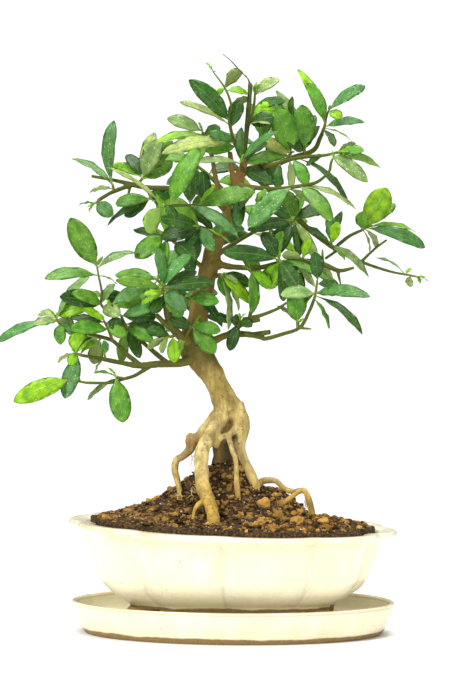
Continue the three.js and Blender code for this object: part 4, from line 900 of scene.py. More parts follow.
BRANCHES = {  # name: (lean, limbs)
    "branch_left_low": (-25, [
        [
            [-23, 4, 186.5, 4], [-31, 0, 182, 3], [-40, -3, 180.3, 2.6], [-50, -6, 180, 2.2],
            [-62, -8, 179, 2], [-70, -9, 180, 1.5], [-80, -11, 182, 1.4], [-90, -12, 184, 1.2],
            [-102, -14, 186, 0.9],
        ],
        [
            [-61, -8, 179, 1.6], [-70, -6, 186, 1.4], [-77, -4, 193, 1.3], [-82, -3, 196.5, 1.2],
            [-95, 0, 200, 1.1], [-108, 2, 203, 1], [-116, 3, 207.5, 0.9],
        ],
        [
            [-55, -7, 179, 1.6], [-60, -10, 175.5, 1.3], [-66, -13, 172, 1.1], [-73, -15, 170, 1],
            [-82, -18, 167.5, 0.9], [-99, -21, 167.5, 0.8],
        ],
        [
            [-43, -4, 180.5, 1.8], [-50, -2, 186, 1.5], [-60, 2, 194.5, 1.3], [-70, 4, 203, 1.2],
            [-80, 2, 212, 1.1], [-87, 0, 218.5, 1],
        ],
        [
            [-60, 2, 194.5, 1.1], [-55, -1, 200, 1], [-53, -3, 203, 0.8],
        ],
    ]),
    "branch_left_stub": (-45, [
        [
            [-27, 6, 193, 3.4], [-36, -1, 200, 2.8], [-41, -6, 206, 2.6], [-43.5, -7, 215, 2.4],
            [-45.5, -8, 226, 2.3],
        ],
        [
            [-40, -5.5, 204, 2], [-45, -7, 207, 1.7], [-51, -8, 213, 1.5],
        ],
    ]),
    "branch_upper_left": (35, [
        [
            [-2, 1, 281, 3], [-9, -2, 287, 2], [-16, -4, 292, 1.9], [-27, -6, 296, 1.8],
            [-45, -9, 297.5, 1.6], [-58, -11, 298, 1.5], [-67, -12, 300, 1.5], [-80, -14, 303, 1.1],
            [-94, -16, 305.5, 0.9],
        ],
        [
            [-66, -12, 300, 1.4], [-80, -15, 295, 1.2], [-90, -17, 289, 1],
        ],
        [
            [-68, -12, 300, 1], [-70, -14, 291, 0.6],
        ],
    ]),
    "branch_right_low": (-45, [
        [
            [-22, 1, 192, 4], [-13, -1, 195.5, 2.8], [-5, -2, 199, 2.2], [2, -2, 200, 2.1],
            [10, -3, 200, 1.9], [18, -4, 198.5, 1.7], [22, -5, 197, 1.3], [33, -7, 200, 1.2],
            [45, -10, 204.5, 1.1], [51.5, -12, 216, 1], [55, -13, 225, 0.9],
        ],
        [
            [13, -3, 199.5, 1.8], [25, -4, 201.5, 1.5],
        ],
        [
            [44, -10, 204.3, 0.9], [52.5, -12, 203.5, 0.5],
        ],
        [
            [-3, -2, 200, 1.8], [4, -5, 205, 1.5], [12, -8, 210.5, 1.3], [20, -9, 213, 1.1],
            [30, -11, 217, 1], [36, -12, 221, 0.8],
        ],
        [
            [11, -8, 210, 1.2], [13.5, -7, 222, 1], [14.5, -5, 240, 0.9],
        ],
        [
            [5, -6, 206, 1.2], [11, -7, 208, 1.2], [18, -8, 209.5, 1.1],
        ],
    ]),
    "branch_right_mid": (-20, [
        [
            [-14, 0, 248, 3.4], [-8, -2, 246.5, 2.3], [0, -3, 245, 1.9], [18, -7, 244.5, 1.6],
            [33, -10, 248, 1.5], [47, -13, 249, 1.5], [60, -15, 247, 1.7], [71, -16, 242.5, 1.3],
            [81, -17, 244.5, 0.8],
        ],
        [
            [70, -16, 242.8, 1.1], [72.5, -18, 232, 0.4],
        ],
        [
            [60, -15, 248, 1.2], [60, -17, 257, 0.4],
        ],
    ]),
    "branch_right_diagonal": (35, [
        [
            [4, 0, 307, 3], [12, -3, 307.5, 2.1], [25, -5, 296, 1.9], [38, -8, 283, 1.8],
            [50, -10, 271, 1.7], [62.5, -12, 261, 1.5], [71, -13, 255.5, 1.2], [87, -15, 248, 1],
            [105, -17, 242, 0.8], [115, -18, 240, 0.7],
        ],
        [
            [86, -15, 248.4, 0.9], [95, -12, 257, 0.8], [103, -10, 263, 0.7],
        ],
        [
            [68, -13, 257.5, 1.2], [78, -16, 265.5, 1], [87, -18, 269.7, 0.9],
        ],
        [
            [70, -13, 256, 1], [62, -14, 250.5, 0.8],
        ],
    ]),
    "branch_upper_right": (25, [
        [
            [5, 3, 306, 3], [12, 5, 310.5, 2], [22, 7, 312, 1.8], [31, 9, 314, 1.7], [42, 12, 318.5, 1.6],
            [52, 13, 321.5, 1.6], [56, 13, 325, 1.5], [58, 13, 330, 1.4], [60, 12, 334, 1.2],
        ],
    ]),
}

twig_bark = Finish("olive_twig_bark", roughness=0.8, specular_ior_level=0.08)
girth = twig_bark.note("girth")
grain = twig_bark.mottle(420, 4)
fine = twig_bark.mottle(1500, 2)
old = twig_bark.between(girth + (grain - 0.5) * 0.0012, 0.0010, 0.0026)
young = twig_bark.between(girth, 0.0006, 0.0012, 1.0, 0.0)
colour = twig_bark.mix(grain, (0.036, 0.060, 0.008), (0.105, 0.140, 0.024))
colour = twig_bark.mix(young * 0.8, colour, (0.11, 0.21, 0.025))
colour = twig_bark.mix(old * 0.7, colour, (0.145, 0.125, 0.030))
from_start = twig_bark.note("along") + twig_bark.note("limb")
joint = twig_bark.between(from_start + (grain - 0.5) * 0.006, 0.008, 0.022, 1.0, 0.0)
colour = twig_bark.mix(joint * 0.8, colour, (0.19, 0.155, 0.032))
specks = twig_bark.between(twig_bark.cells(900), 0.1, 0.2, 1.0, 0.0)
colour = twig_bark.mix(specks * 0.3, colour, (0.34, 0.32, 0.18))
twig_bark.coloured(colour)
twig_bark.raised(grain * 0.6 + fine * 0.4 + specks * 0.3, 0.25)

TWIG_VOXEL = 0.42
forked = [
    ("REMESH", {"mode": "VOXEL", "voxel_size": TWIG_VOXEL * MM}),
    ("SMOOTH", {"factor": 0.5, "iterations": 3}),
]
for node, (lean, tubes) in BRANCHES.items():
    swollen = [[(x, y, z, half * 1.04 + 0.1) for x, y, z, half in tube] for tube in tubes]
    values = {"Sides": 10, "Smoothness": 4, "Material": twig_bark.material}
    branch_mesh = grow.run(node, limb_lines(swollen, lean), values, after=forked)
    follow_limbs(branch_mesh, swollen, lean)
    knobble(branch_mesh, 0.35, 0.7)
    place_piece(node + "_wood", branch_mesh, "twig_bark", node, material=twig_bark.material)

# ---- Leafy shoots ----
# Short green twigs with alternate leaves: leathery, glossy and untoothed, paler underneath, with a
# light midrib. Some are dusted white by dried water, and the newest are bright yellow-green.
# A leaf is (share of the stem, tip x, y, z, width, turn, tone). At turn 0 its face looks to the
# tree's front, at 90 up. The tones number LEAF_TONES.

SHOOTS = {  # name: (lean, stem, leaves)
    "shoot_far_left": (-25, [
        [-115.5, 3, 207, 1], [-117.5, 3, 210, 0.8],
    ], [
        [1, -96, 6, 239, 10, 58, 3], [1, -130, 14, 213, 9, 60, 3], [0.8, -133, -4, 206, 10, 55, 3],
        [0.5, -157, -4, 195, 11, 62, 4], [1, -106, 4, 204.5, 9, 40, 3], [0, -115, -7, 193, 8, 0, 0],
        [0, -105, -3, 199, 6, 25, 4],
    ]),
    "shoot_left_bright": (-25, [
        [-101, -14, 186, 1], [-104.5, -15, 187, 0.8],
    ], [
        [1, -102, -9, 202, 13, 10, 2], [1, -94, -18, 197.5, 8, 78, 1], [1, -109, -19, 179.5, 7, 20, 2],
        [0.3, -90, -10, 196, 6, 50, 2], [1, -117, -8, 181, 6, 72, 3], [0.6, -112, -27, 157, 12, 15, 4],
    ]),
    "shoot_left_hanging": (-25, [
        [-88, -1, 198, 1], [-89, -5, 196, 0.7],
    ], [
        [1, -93, -4, 180, 11, 160, 3], [0.5, -108, 10, 196, 8, 140, 2],
    ]),
    "shoot_left_low_bright": (-25, [
        [-98, -21, 167.5, 0.8], [-109, -22, 169.5, 0.7],
    ], [
        [1, -146.5, -29, 155, 13, 15, 2], [0.3, -112, -14, 176, 6, 70, 0],
    ]),
    "shoot_left_mid": (-25, [
        [-80, -4, 195, 1.1], [-83, -8, 203, 0.9], [-86, -11, 209, 0.8],
    ], [
        [0.55, -109, -19, 203.5, 10, 30, 0], [0.9, -109, -6, 211, 8, 45, 1],
        [1, -101, -14, 216.5, 8, 50, 2], [0.75, -71, -17, 199, 9, 20, 0], [0.9, -72, -10, 205, 9, 20, 1],
    ]),
    "shoot_left_rosette": (-25, [
        [-86.5, 0, 218, 1], [-88, -4, 221, 0.8], [-87.5, -5, 229, 0.8], [-89.5, -6, 239, 0.7],
        [-90.5, -6, 245, 0.6],
    ], [
        [0.1, -115.5, -9, 225, 12, 20, 1], [0.13, -108, -21, 227, 10, 35, 0],
        [0.3, -96, 6, 227, 7, 50, 2], [0.15, -78.5, -10, 233.5, 7, 40, 3],
        [0.06, -75, -18, 212.5, 10, 15, 3], [1, -108.5, -10, 277.5, 15, 0, 0],
        [0.8, -125.5, -14, 237, 11, 48, 0], [0.97, -62.5, 2, 254, 10, 58, 3],
        [0.35, -70, -2, 222, 11, 25, 1], [0.15, -117, 6, 213, 11, 25, 2], [0.8, -77, -9, 233, 6, 80, 3],
    ]),
    "shoot_left_inner": (-25, [
        [-69, 4, 202.5, 1.1], [-72, -4, 207, 0.9], [-75, -9, 213, 0.8], [-81, -12, 220, 0.7],
    ], [
        [1, -57.5, -15, 231.5, 10, 25, 4], [0.6, -51.5, -17, 219, 8, 15, 4],
        [0.25, -53, -17, 194.5, 9, 20, 0], [0.35, -45, -9, 203.5, 9, 10, 1],
        [0.1, -62, -9, 184, 8, 10, 1], [0.05, -74.5, 0, 181, 9, 150, 2], [0.6, -51, -6, 212, 11, 20, 1],
        [0.9, -61, 2, 224, 10, 15, 0],
    ]),
    "shoot_stub_rosette": (-45, [
        [-45.4, -8, 225.5, 1.2], [-47, -10, 231, 0.9],
    ], [
        [1, -50.5, -13, 258.5, 9, 35, 4], [1, -28, -18, 253, 10, 35, 4], [0.5, -59, -17, 226, 6, 40, 2],
        [0.9, -78, -7, 236, 9, 30, 0], [0.3, -61, -9, 219.5, 7, 45, 2], [0.1, -54, -12, 214, 9, 15, 1],
        [1, -12.5, -27, 234.5, 11, 25, 1], [0.8, -24, -13, 242, 8, 20, 1],
        [0.5, -31, -29, 216, 11, 10, 4], [0.2, -34, -17, 211, 11, 20, 0],
    ]),
    "shoot_trunk_front": (0, [
        [-32, -6, 196, 1.6], [-30, -15, 201, 1.1], [-26.5, -19, 206, 0.9],
    ], [
        [0.9, -42.5, -24, 210.5, 9, 15, 1], [1, -8, -26, 202, 9, 15, 0],
        [0.95, -11.5, -26, 187.5, 12, 5, 0], [0.4, -38, -16, 185, 7, 150, 2],
    ]),
    "shoot_trunk_mid": (0, [
        [-20, -2, 229, 1.6], [-25, -13, 227, 1.1], [-28, -17, 224, 0.9],
    ], [
        [1, -9, -24, 221.5, 9, 15, 0], [0.6, -7, -16, 205, 8, 40, 1],
    ]),
    "shoot_stub_side": (-45, [
        [-39, -6, 199, 1.2], [-43, -10, 198, 0.8],
    ], [
        [1, -57, -8, 190.5, 7, 130, 3], [0.9, -48, -13, 187.5, 6, 140, 3], [0.5, -58, -4, 203, 8, 30, 1],
        [0.3, -39, -8, 181, 9, 10, 2],
    ]),
    "shoot_left_under": (-25, [
        [-72, -15, 170.2, 1], [-78, -18, 171.5, 0.7],
    ], [
        [1, -73, -24, 141, 14, 0, 0], [1, -93, -19, 174, 6, 78, 0], [0.5, -97, -8, 156, 6, 60, 3],
    ]),
    "shoot_left_spur": (-25, [
        [-85, -11.5, 183, 1], [-85.5, -13, 186, 0.7],
    ], [
        [1, -86, -15, 196, 5, 30, 4], [0.5, -92, -9, 175, 5, 72, 3],
    ]),
    "shoot_upper_left_tip": (35, [
        [-79, -15, 295.3, 1.1], [-80, -16, 300, 0.8],
    ], [
        [1, -79, -18, 342.5, 11, 38, 4], [0.8, -107, -10, 317, 9, 60, 4], [0.3, -95, -6, 295, 6, 60, 3],
    ]),
    "shoot_upper_left_fork": (35, [
        [-88, -17, 290, 1], [-91.5, -18, 287.5, 0.7],
    ], [
        [0.9, -79.5, -22, 279.5, 10, 0, 4], [1, -103, -19, 286, 4, 70, 0],
        [1, -95.5, -16, 281.5, 3, 60, 3],
    ]),
    "shoot_upper_left_mid": (35, [
        [-64, -12, 299.5, 1.2], [-60, -16, 304, 0.9],
    ], [
        [1, -80, -8, 313, 8, 40, 2], [1, -47, -23, 330, 13, 25, 3], [0.9, -40, -15, 329, 10, 20, 0],
        [1, -52, -2, 334.5, 10, 30, 3], [0.9, -40, -8, 315, 12, 15, 0], [0.9, -70, -6, 320, 9, 20, 1],
    ]),
    "shoot_upper_left_low": (35, [
        [-57, -11, 297.5, 1.2], [-54, -15, 290, 0.9],
    ], [
        [1, -78, -22, 287, 9, 25, 0], [0.9, -77, -8, 285, 8, 120, 1], [0.95, -83.5, -16, 272.5, 9, 60, 1],
        [0.9, -72, -12, 279, 10, 20, 1], [0.3, -42, -8, 289, 10, 20, 1],
    ]),
    "shoot_young_left": (-40, [
        [-1, -2, 290, 1.5], [-8, -9, 287.5, 1.2], [-18, -16, 286.3, 1.1], [-30, -22, 286, 1],
        [-40, -27, 286, 1], [-47, -29, 285.5, 0.9],
    ], [
        [1, -83.5, -26, 311.5, 8, 68, 3], [1, -57, -35, 268, 13, 150, 2],
        [0.95, -38, -34, 276.5, 8, 35, 1], [0.9, -22, -43, 324, 14, 20, 0],
        [0.85, -25.5, -34, 312, 8, 50, 4], [0.6, -27, -26, 316.5, 12, 15, 1],
        [0.5, 15, -33, 295, 12, 22, 0], [0.6, 3, -37, 266, 10, 35, 4], [0.45, -12, -18, 300, 7, 40, 2],
        [0.4, -20, -12, 309, 9, 15, 1],
    ]),
    "shoot_centre_left": (0, [
        [-10, -1, 267, 1.8], [-16, -14, 270, 1.1], [-22, -21, 272, 0.9],
    ], [
        [1, -48.5, -30, 277.5, 10, 20, 1], [0.9, -31, -17, 259, 9, 25, 1],
        [0.95, -12.5, -30, 255.5, 9, 0, 4], [0.5, 8, -25, 270, 8, 30, 4], [0.7, -2, -20, 261, 6, 70, 2],
        [0.9, -48, -12, 265, 12, 15, 1], [1, -42, -14, 291, 10, 20, 0], [0.2, -28, -8, 283, 8, 40, 1],
    ]),
    "shoot_mid_left": (20, [
        [-16, 0, 241, 2], [-26, -6, 250, 1.4], [-38, -13, 261, 1.2], [-45, -17, 266, 1],
    ], [
        [1, -65, -24, 251, 13, 20, 0], [0.8, -24, -29, 249.5, 12, 15, 1],
        [0.95, -46, -16, 243.5, 8, 20, 0], [0.6, -27.5, -10, 240, 9, 20, 1],
        [0.9, -66, -8, 270, 9, 40, 1], [1, -47, 4, 299, 12, 15, 0], [0.3, -22, -12, 267, 7, 20, 1],
    ]),
    "shoot_top_middle": (0, [
        [7, 4, 318, 1.6], [2, -1, 326, 1.2], [-1, -4, 336, 1.1], [-2.5, -5, 345, 0.9], [-1, -4, 353, 0.8],
        [-5, -5, 364, 0.7], [-13, -6, 375, 0.4],
    ], [
        [0.42, -29, -17, 369.5, 12, 20, 1], [0.38, -35, -8, 355, 8, 60, 3],
        [0.5, -23, 6, 366.5, 8, 120, 3], [0.78, -11, 4, 359, 6, 40, 2], [0.8, 7, 12, 374.5, 11, 130, 3],
        [0.76, 10, 2, 360.5, 7, 45, 2], [0.6, 11, 16, 356, 8, 130, 3], [0.2, -47, -27, 320.5, 12, 35, 3],
        [0.22, -16, -21, 334, 7, 20, 4], [0.15, -18, -10, 322, 9, 20, 0], [0.35, 5, 2, 356, 10, 10, 1],
    ]),
    "shoot_top_left": (0, [
        [-14, 5, 318, 1], [-17, -3, 327, 0.9], [-20, -7, 335, 0.8],
    ], [
        [1, -43.5, -10, 344, 10, 30, 3], [0.9, -50.5, -15, 328, 8, 55, 2], [0.9, -8, -15, 337, 9, 30, 1],
        [0.8, -39, 0, 332, 8, 65, 2],
    ]),
    "shoot_top_right": (0, [
        [7, 1, 309, 2], [6, -7, 312, 1.1], [6, -11, 315, 0.8],
    ], [
        [1, 31.5, -20, 335.5, 8, 50, 4], [0.9, 6, -7, 338, 7, 25, 1], [0.8, -24, -24, 315, 8, 55, 3],
        [0.1, 28, -13, 300, 10, 20, 1], [1, 23, -6, 328, 6, 30, 1],
    ]),
    "shoot_stub_right": (0, [
        [9.7, 4, 337, 1.2], [13, 6, 346, 1], [14.5, 8, 354, 0.9], [15, 9, 361, 0.7],
    ], [
        [0.15, 27.5, -4, 344.5, 10, 20, 1], [0.1, 25, -10, 340, 7, 76, 3], [0.5, 27.5, 6, 349, 11, 15, 2],
        [0.6, 35, 10, 355.5, 8, 35, 1], [0.95, 31, 14, 370, 9, 30, 3], [0.9, 22, 24, 366, 9, 40, 0],
    ]),
    "shoot_upper_right_big": (25, [
        [36, 10.5, 316.5, 1.2], [39, 4, 321, 1],
    ], [
        [1, 29, -6, 351, 17, 12, 0], [1, 40, 4, 358.5, 9, 35, 1], [0.9, 16.5, -10, 329.5, 10, 25, 3],
        [0.6, 9, -18, 314, 10, 30, 0],
    ]),
    "shoot_upper_right_mid": (25, [
        [48, 12.5, 320.5, 1.2], [48, 6, 324, 1],
    ], [
        [1, 46, -6, 353, 15, 10, 0], [0.8, 29, 8, 362.5, 12, 42, 3], [0.9, 55, 14, 346, 9, 30, 4],
        [0.5, 36, -2, 329, 8, 20, 1], [0.6, 58, 4, 339, 7, 30, 1],
    ]),
    "shoot_upper_right_tip": (25, [
        [59.6, 12, 333.5, 1.3], [61.5, 12, 339, 1], [62.5, 12, 344, 0.8], [64, 11, 349, 0.7],
    ], [
        [1, 88.5, 8, 365.5, 9, 35, 4], [1, 73, 5, 344, 8, 30, 2], [0.5, 50, 12, 367.5, 10, 20, 0],
        [0.4, 43.5, 20, 376.5, 9, 38, 2], [0.3, 88, 9, 341.5, 8, 42, 4], [0.25, 79, 2, 329.5, 5, 74, 3],
        [0.2, 68, -3, 325, 6, 40, 1],
    ]),
    "shoot_young_right": (-30, [
        [21, 5, 312, 1.4], [30, 0, 314, 1.3], [38, -6, 316.5, 1.2], [50, -8, 318.5, 1.2],
        [62, -9, 319.5, 1], [70, -11, 321.5, 0.8],
    ], [
        [1, 87.5, -15, 322.5, 8, 38, 0], [1, 82, 0, 327, 8, 125, 3], [0.95, 98.5, -8, 311, 9, 128, 2],
        [0.9, 90, -17, 301.5, 9, 15, 3], [0.5, 77, -13, 286.5, 9, 60, 1], [0.4, 39, -7, 297.5, 7, 140, 3],
        [0.45, 49.5, -16, 299, 9, 20, 0], [0.25, 31, -3, 296.5, 8, 30, 1], [0.85, 49, -4, 313, 8, 60, 1],
    ]),
    "shoot_hooked": (-45, [
        [2, -1, 300, 2], [14, -6, 298, 1.6], [30, -11, 297, 1.4], [42, -14, 298.5, 1.3],
        [51, -14, 300, 1.2], [57, -15, 302, 1.1], [64, -16, 308, 1], [65.5, -16, 314, 0.9],
        [66.5, -16, 317, 0.7],
    ], [
        [0.62, 65.5, -24, 275.5, 12, 25, 0], [0.6, 82, -8, 283.5, 8, 62, 3],
        [0.55, 10.5, -36, 271.5, 14, 20, 4], [0.5, 65, -3, 277, 9, 125, 3], [0.3, 20, -20, 284, 9, 40, 0],
        [0.2, 5, -26, 284, 9, 30, 1], [0.05, 4, -30, 271, 10, 20, 1], [0.45, 42, -12, 279, 11, 15, 0],
    ]),
    "shoot_diagonal_mid": (35, [
        [43, -9, 278, 1.1], [40, -15, 275, 0.9],
    ], [
        [1, 10, -28, 269.5, 9, 25, 1], [0.9, 24, -23, 250, 13, 10, 1], [0.9, 44.5, -22, 252, 8, 30, 1],
        [0.7, 56.5, -25, 247.5, 9, 35, 3], [0.6, 46, -12, 258, 7, 40, 2], [0.5, 61, -4, 284, 11, 40, 1],
        [0.9, 47, -2, 294, 9, 20, 0], [0.8, 24, -6, 285, 8, 30, 1],
    ]),
    "shoot_diagonal_fork": (35, [
        [66, -12.5, 258.5, 1.2], [66, -16, 261, 0.8],
    ], [
        [1, 65.5, -19, 279, 8, 30, 4], [1, 71, -22, 275, 8, 15, 2], [0.8, 67, -6, 281, 8, 125, 3],
        [0.5, 91, -21, 238.5, 9, 52, 3], [0.4, 75, -24, 249.5, 6, 55, 0], [0.5, 47, -8, 272, 8, 60, 1],
        [1, 73, -16, 282, 6, 30, 1],
    ]),
    "shoot_right_pair": (35, [
        [86, -18, 269.3, 1], [89, -18.5, 271, 0.8],
    ], [
        [1, 103, -25, 297.5, 17, 5, 2], [1, 108.5, -14, 287, 10, 30, 0], [0.2, 87, -24, 282, 9, 25, 0],
        [0.9, 128.5, -23, 258, 10, 32, 4], [0.8, 122.5, -8, 268, 6, 60, 2],
        [0.3, 91.5, -15, 254, 6, 74, 3], [0.6, 96, -6, 257, 7, 120, 3],
    ]),
    "shoot_right_far": (35, [
        [114, -18, 240.2, 0.8], [123, -19, 238.5, 0.6],
    ], [
        [0.2, 119.5, -17, 244, 3, 50, 2], [1, 125.5, -20, 234, 4, 50, 2], [0.1, 96, -12, 251, 6, 76, 3],
        [0.6, 118, -12, 232, 6, 30, 3],
    ]),
    "shoot_right_knot": (-45, [
        [54.3, -13, 223, 1], [55.5, -13, 228, 0.9], [56.5, -14, 236, 0.7],
    ], [
        [0.3, 32, -23, 226.5, 11, 35, 3], [0.35, 91.5, -20, 225, 10, 35, 4], [0.3, 71, -9, 227, 8, 48, 0],
        [0.2, 86.5, -15, 200, 9, 58, 1], [0.05, 64.5, -19, 203.5, 6, 58, 0], [1, 55, -18, 255, 9, 10, 1],
        [0.4, 47, -4, 216, 9, 60, 0], [0.8, 71, -8, 233, 7, 30, 1],
    ]),
    "shoot_right_bud": (-45, [
        [43.5, -10, 204.2, 1], [43.5, -11, 208, 1.2],
    ], [
        [1, 40.5, -17, 229.5, 13, 15, 0], [0.8, 30, -6, 219, 7, 60, 3],
    ]),
    "shoot_right_mid": (-20, [
        [32, -10, 248, 1.3], [31, -14, 250, 1],
    ], [
        [1, 46.5, -26, 227, 14, 8, 1], [0.9, -6.5, -26, 254.5, 11, 22, 1], [0.9, 20, -8, 268, 10, 15, 1],
        [0.5, 34, -6, 222, 8, 20, 1], [0.7, 69.5, -24, 232, 9, 50, 0], [0.6, 55, -20, 232, 8, 130, 3],
        [0.5, 22, 0, 230.5, 13, 10, 2], [0.8, 33, -6, 269, 9, 40, 0],
    ]),
    "shoot_right_outer": (-20, [
        [46.5, -13, 249, 1.2], [47, -16, 251, 0.9],
    ], [
        [0.8, 33, -16, 252.5, 9, 140, 3], [1, 52, -20, 264, 7, 30, 2], [0.8, 67, -14, 237, 7, 60, 3],
    ]),
    "shoot_low_hanging": (-45, [
        [14.3, -5.5, 239, 1.2], [12, -8, 243, 0.8],
    ], [
        [1, 12.5, -13, 213.5, 9, 30, 0], [0.8, 26, -1, 232, 9, 20, 2],
    ]),
    "shoot_trunk_right": (0, [
        [-11, -2, 239, 1.8], [-8, -8, 240, 0.9],
    ], [
        [1, 4, -8, 215.5, 9, 120, 3], [1, 11.5, -13, 220.5, 9, 30, 2], [0.9, 3, -14, 234, 6, 60, 3],
        [0.9, -3, -20, 203, 8, 60, 3], [0.9, 12, -4, 233, 10, 20, 1], [0.5, -3, -12, 225, 8, 15, 0],
    ]),
    "shoot_low_round": (-45, [
        [4, -5, 205, 1.5], [5, -9, 209, 1],
    ], [
        [0.9, -0.5, -15, 210, 8, 10, 1], [0.5, -2, -12, 189, 8, 15, 1], [1, 13, -15, 205, 8, 20, 1],
        [0.6, -17, -10, 212, 7, 30, 1],
    ]),
    "shoot_back_left": (0, [
        [-20, 3, 214, 2.4], [-30, 20, 222, 1.6], [-42, 36, 230, 1.3], [-50, 50, 236, 1],
    ], [
        [1, -78, 66, 240, 12, 40, 0], [1, -62, 76, 214, 12, 30, 1], [0.9, -38, 72, 256, 12, 30, 0],
        [0.7, -66, 34, 222, 11, 50, 0], [0.7, -24, 52, 214, 11, 40, 1], [0.4, -44, 34, 202, 11, 30, 2],
        [0.45, -10, 40, 228, 11, 40, 0], [0.9, -44, 78, 222, 12, 60, 3],
    ]),
    "shoot_back_right": (0, [
        [-13, 3, 251, 2.2], [0, 22, 260, 1.6], [14, 40, 268, 1.3], [24, 54, 272, 1],
    ], [
        [1, 50, 72, 276, 12, 40, 0], [1, 30, 80, 252, 12, 30, 1], [0.9, 10, 76, 286, 12, 30, 0],
        [0.7, 44, 40, 254, 11, 50, 2], [0.7, -10, 56, 262, 11, 40, 1], [0.4, 18, 34, 238, 11, 30, 0],
        [0.5, -16, 40, 282, 11, 40, 0], [0.85, 36, 46, 292, 12, 60, 4],
    ]),
    "shoot_back_upper": (0, [
        [0, 4, 286, 2.2], [-8, 20, 298, 1.6], [-18, 36, 308, 1.2], [-26, 46, 314, 1],
    ], [
        [1, -52, 58, 320, 12, 40, 0], [1, -34, 70, 296, 12, 30, 1], [0.9, -16, 60, 336, 12, 30, 0],
        [0.7, -44, 28, 300, 11, 50, 4], [0.7, 4, 50, 312, 11, 40, 1], [0.4, -26, 34, 280, 11, 30, 0],
        [0.5, 12, 36, 300, 11, 40, 2], [0.95, -40, 44, 334, 11, 60, 0],
    ]),
    "shoot_back_high": (0, [
        [7, 5, 312, 1.8], [14, 18, 322, 1.3], [22, 30, 332, 1],
    ], [
        [1, 46, 44, 338, 12, 40, 0], [1, 26, 54, 314, 12, 30, 1], [0.9, 12, 46, 354, 12, 30, 0],
        [0.7, -12, 32, 330, 11, 50, 4], [0.7, 36, 26, 356, 11, 40, 0], [0.4, 34, 14, 300, 10, 30, 1],
    ]),
}

LEAF_TONES = [
    # upper face, dust
    ((0.095, 0.285, 0.010), 0.35), ((0.021, 0.100, 0.003), 0.30), ((0.230, 0.520, 0.006), 0.10),
    ((0.240, 0.370, 0.090), 0.90), ((0.065, 0.235, 0.040), 0.60),
]
LEAF_ROWS = [
    # share of the length, share of the half width, thickness in mm
    (0.0, 0.07, 0.8), (0.06, 0.09, 0.7), (0.12, 0.26, 0.5), (0.22, 0.62, 0.4), (0.34, 0.88, 0.36),
    (0.48, 1.0, 0.34), (0.62, 1.03, 0.32), (0.75, 0.95, 0.3), (0.86, 0.74, 0.28), (0.94, 0.48, 0.26),
    (1.0, 0.10, 0.24),
]
LEAF_COLUMNS = (-1, -0.55, 0, 0.55, 1)


def leaf_pattern():
    """One flat leaf with an upper and an under skin that meet at the edge, x along and y across."""
    points, notes, faces = [], {"leaf_along": [], "leaf_across": [], "leaf_skin": []}, []
    upper, under = [], []
    for along, half, thick in LEAF_ROWS:
        rows = ([], [])
        for skin, row in ((1, rows[0]), (-1, rows[1])):
            for across in LEAF_COLUMNS:
                if skin < 0 and abs(across) == 1:
                    row.append(rows[0][LEAF_COLUMNS.index(across)])
                    continue
                row.append(len(points))
                lift = skin * thick / 2 if abs(across) < 1 else 0
                points.append((along, across * half, lift * MM))
                notes["leaf_along"].append(along)
                notes["leaf_across"].append(across)
                notes["leaf_skin"].append(skin if abs(across) < 1 else 0)
        upper.append(rows[0])
        under.append(rows[1])
    for skin, one_way in ((upper, True), (under, False)):
        for row, after in zip(skin, skin[1:]):
            for i in range(len(LEAF_COLUMNS) - 1):
                face = (row[i], after[i], after[i + 1], row[i + 1])
                faces.append(face[::-1] if one_way else face)
    for end, one_way in ((0, False), (-1, True)):
        face = upper[end] + under[end][-2:0:-1]
        faces.append(face[::-1] if one_way else face)
    mesh = bpy.data.meshes.new("leaf_pattern")
    mesh.from_pydata(points, [], faces)
    for name, values in notes.items():
        mesh.attributes.new(name, "FLOAT", "POINT").data.foreach_set("value", values)
    return bpy.data.objects.new("leaf_pattern", mesh)


# Lays a leaf pattern out along each point's own directions, arched, folded and rippled.
unfold = Shaping("unfold_leaves", {
    "Leaf": bpy.types.Object, "Arch": float, "Ripple": float, "Material": bpy.types.Material,
})
pattern = unfold.put("GeometryNodeObjectInfo", {}, {"Object": unfold.given["Leaf"]})["Geometry"]
placed = {"Points": unfold.given["Geometry"], "Instance": pattern}
leaves = unfold.put("GeometryNodeInstanceOnPoints", {}, placed)[0]
leaves = unfold.put("GeometryNodeRealizeInstances", {}, {"Geometry": leaves})[0]
base, forward, sideways, up = (
    unfold.attribute(name, "FLOAT_VECTOR") for name in ("leaf_base", "leaf_reach", "leaf_side", "leaf_up")
)
along, across = unfold.attribute("leaf_along"), unfold.attribute("leaf_across")
from_root = unfold.vectors("SUBTRACT", unfold.put("GeometryNodeInputPosition")[0], base)
_, breadth, thick = unfold.parts(from_root)
half = unfold.attribute("leaf_half")
length = unfold.attribute("leaf_length")
lateral = breadth * half
arch = along * (1 - along) * 4 * unfold.given["Arch"] * length * unfold.attribute("leaf_arch")
fold = abs(lateral) * unfold.attribute("leaf_fold")
swell = unfold.sine(along * 17.0 + unfold.attribute("leaf_phase") + across * 1.3)
ripple = swell * abs(across) * abs(breadth) * unfold.given["Ripple"]
lift = arch + fold + ripple + thick + lateral * unfold.attribute("leaf_twist") * (along - 0.4)
laid_out = unfold.vectors("ADD", base, unfold.vectors("SCALE", forward, scale=along))
laid_out = unfold.vectors("ADD", laid_out, unfold.vectors("SCALE", sideways, scale=lateral))
laid_out = unfold.vectors("ADD", laid_out, unfold.vectors("SCALE", up, scale=lift))
unfold.ends_with(unfold.put("GeometryNodeSetPosition", {}, {"Geometry": leaves, "Position": laid_out})[0])


def along_stem(stem, share, lean):
    """The point that far along a stem."""
    points = [stood(point, lean) for point in stem]
    lengths = [(after - before).length for before, after in zip(points, points[1:])]
    left = min(share, 0.999) * sum(lengths)
    for before, after, length in zip(points, points[1:], lengths):
        if left <= length:
            return before.lerp(after, left / length)
        left -= length
    return points[-1]


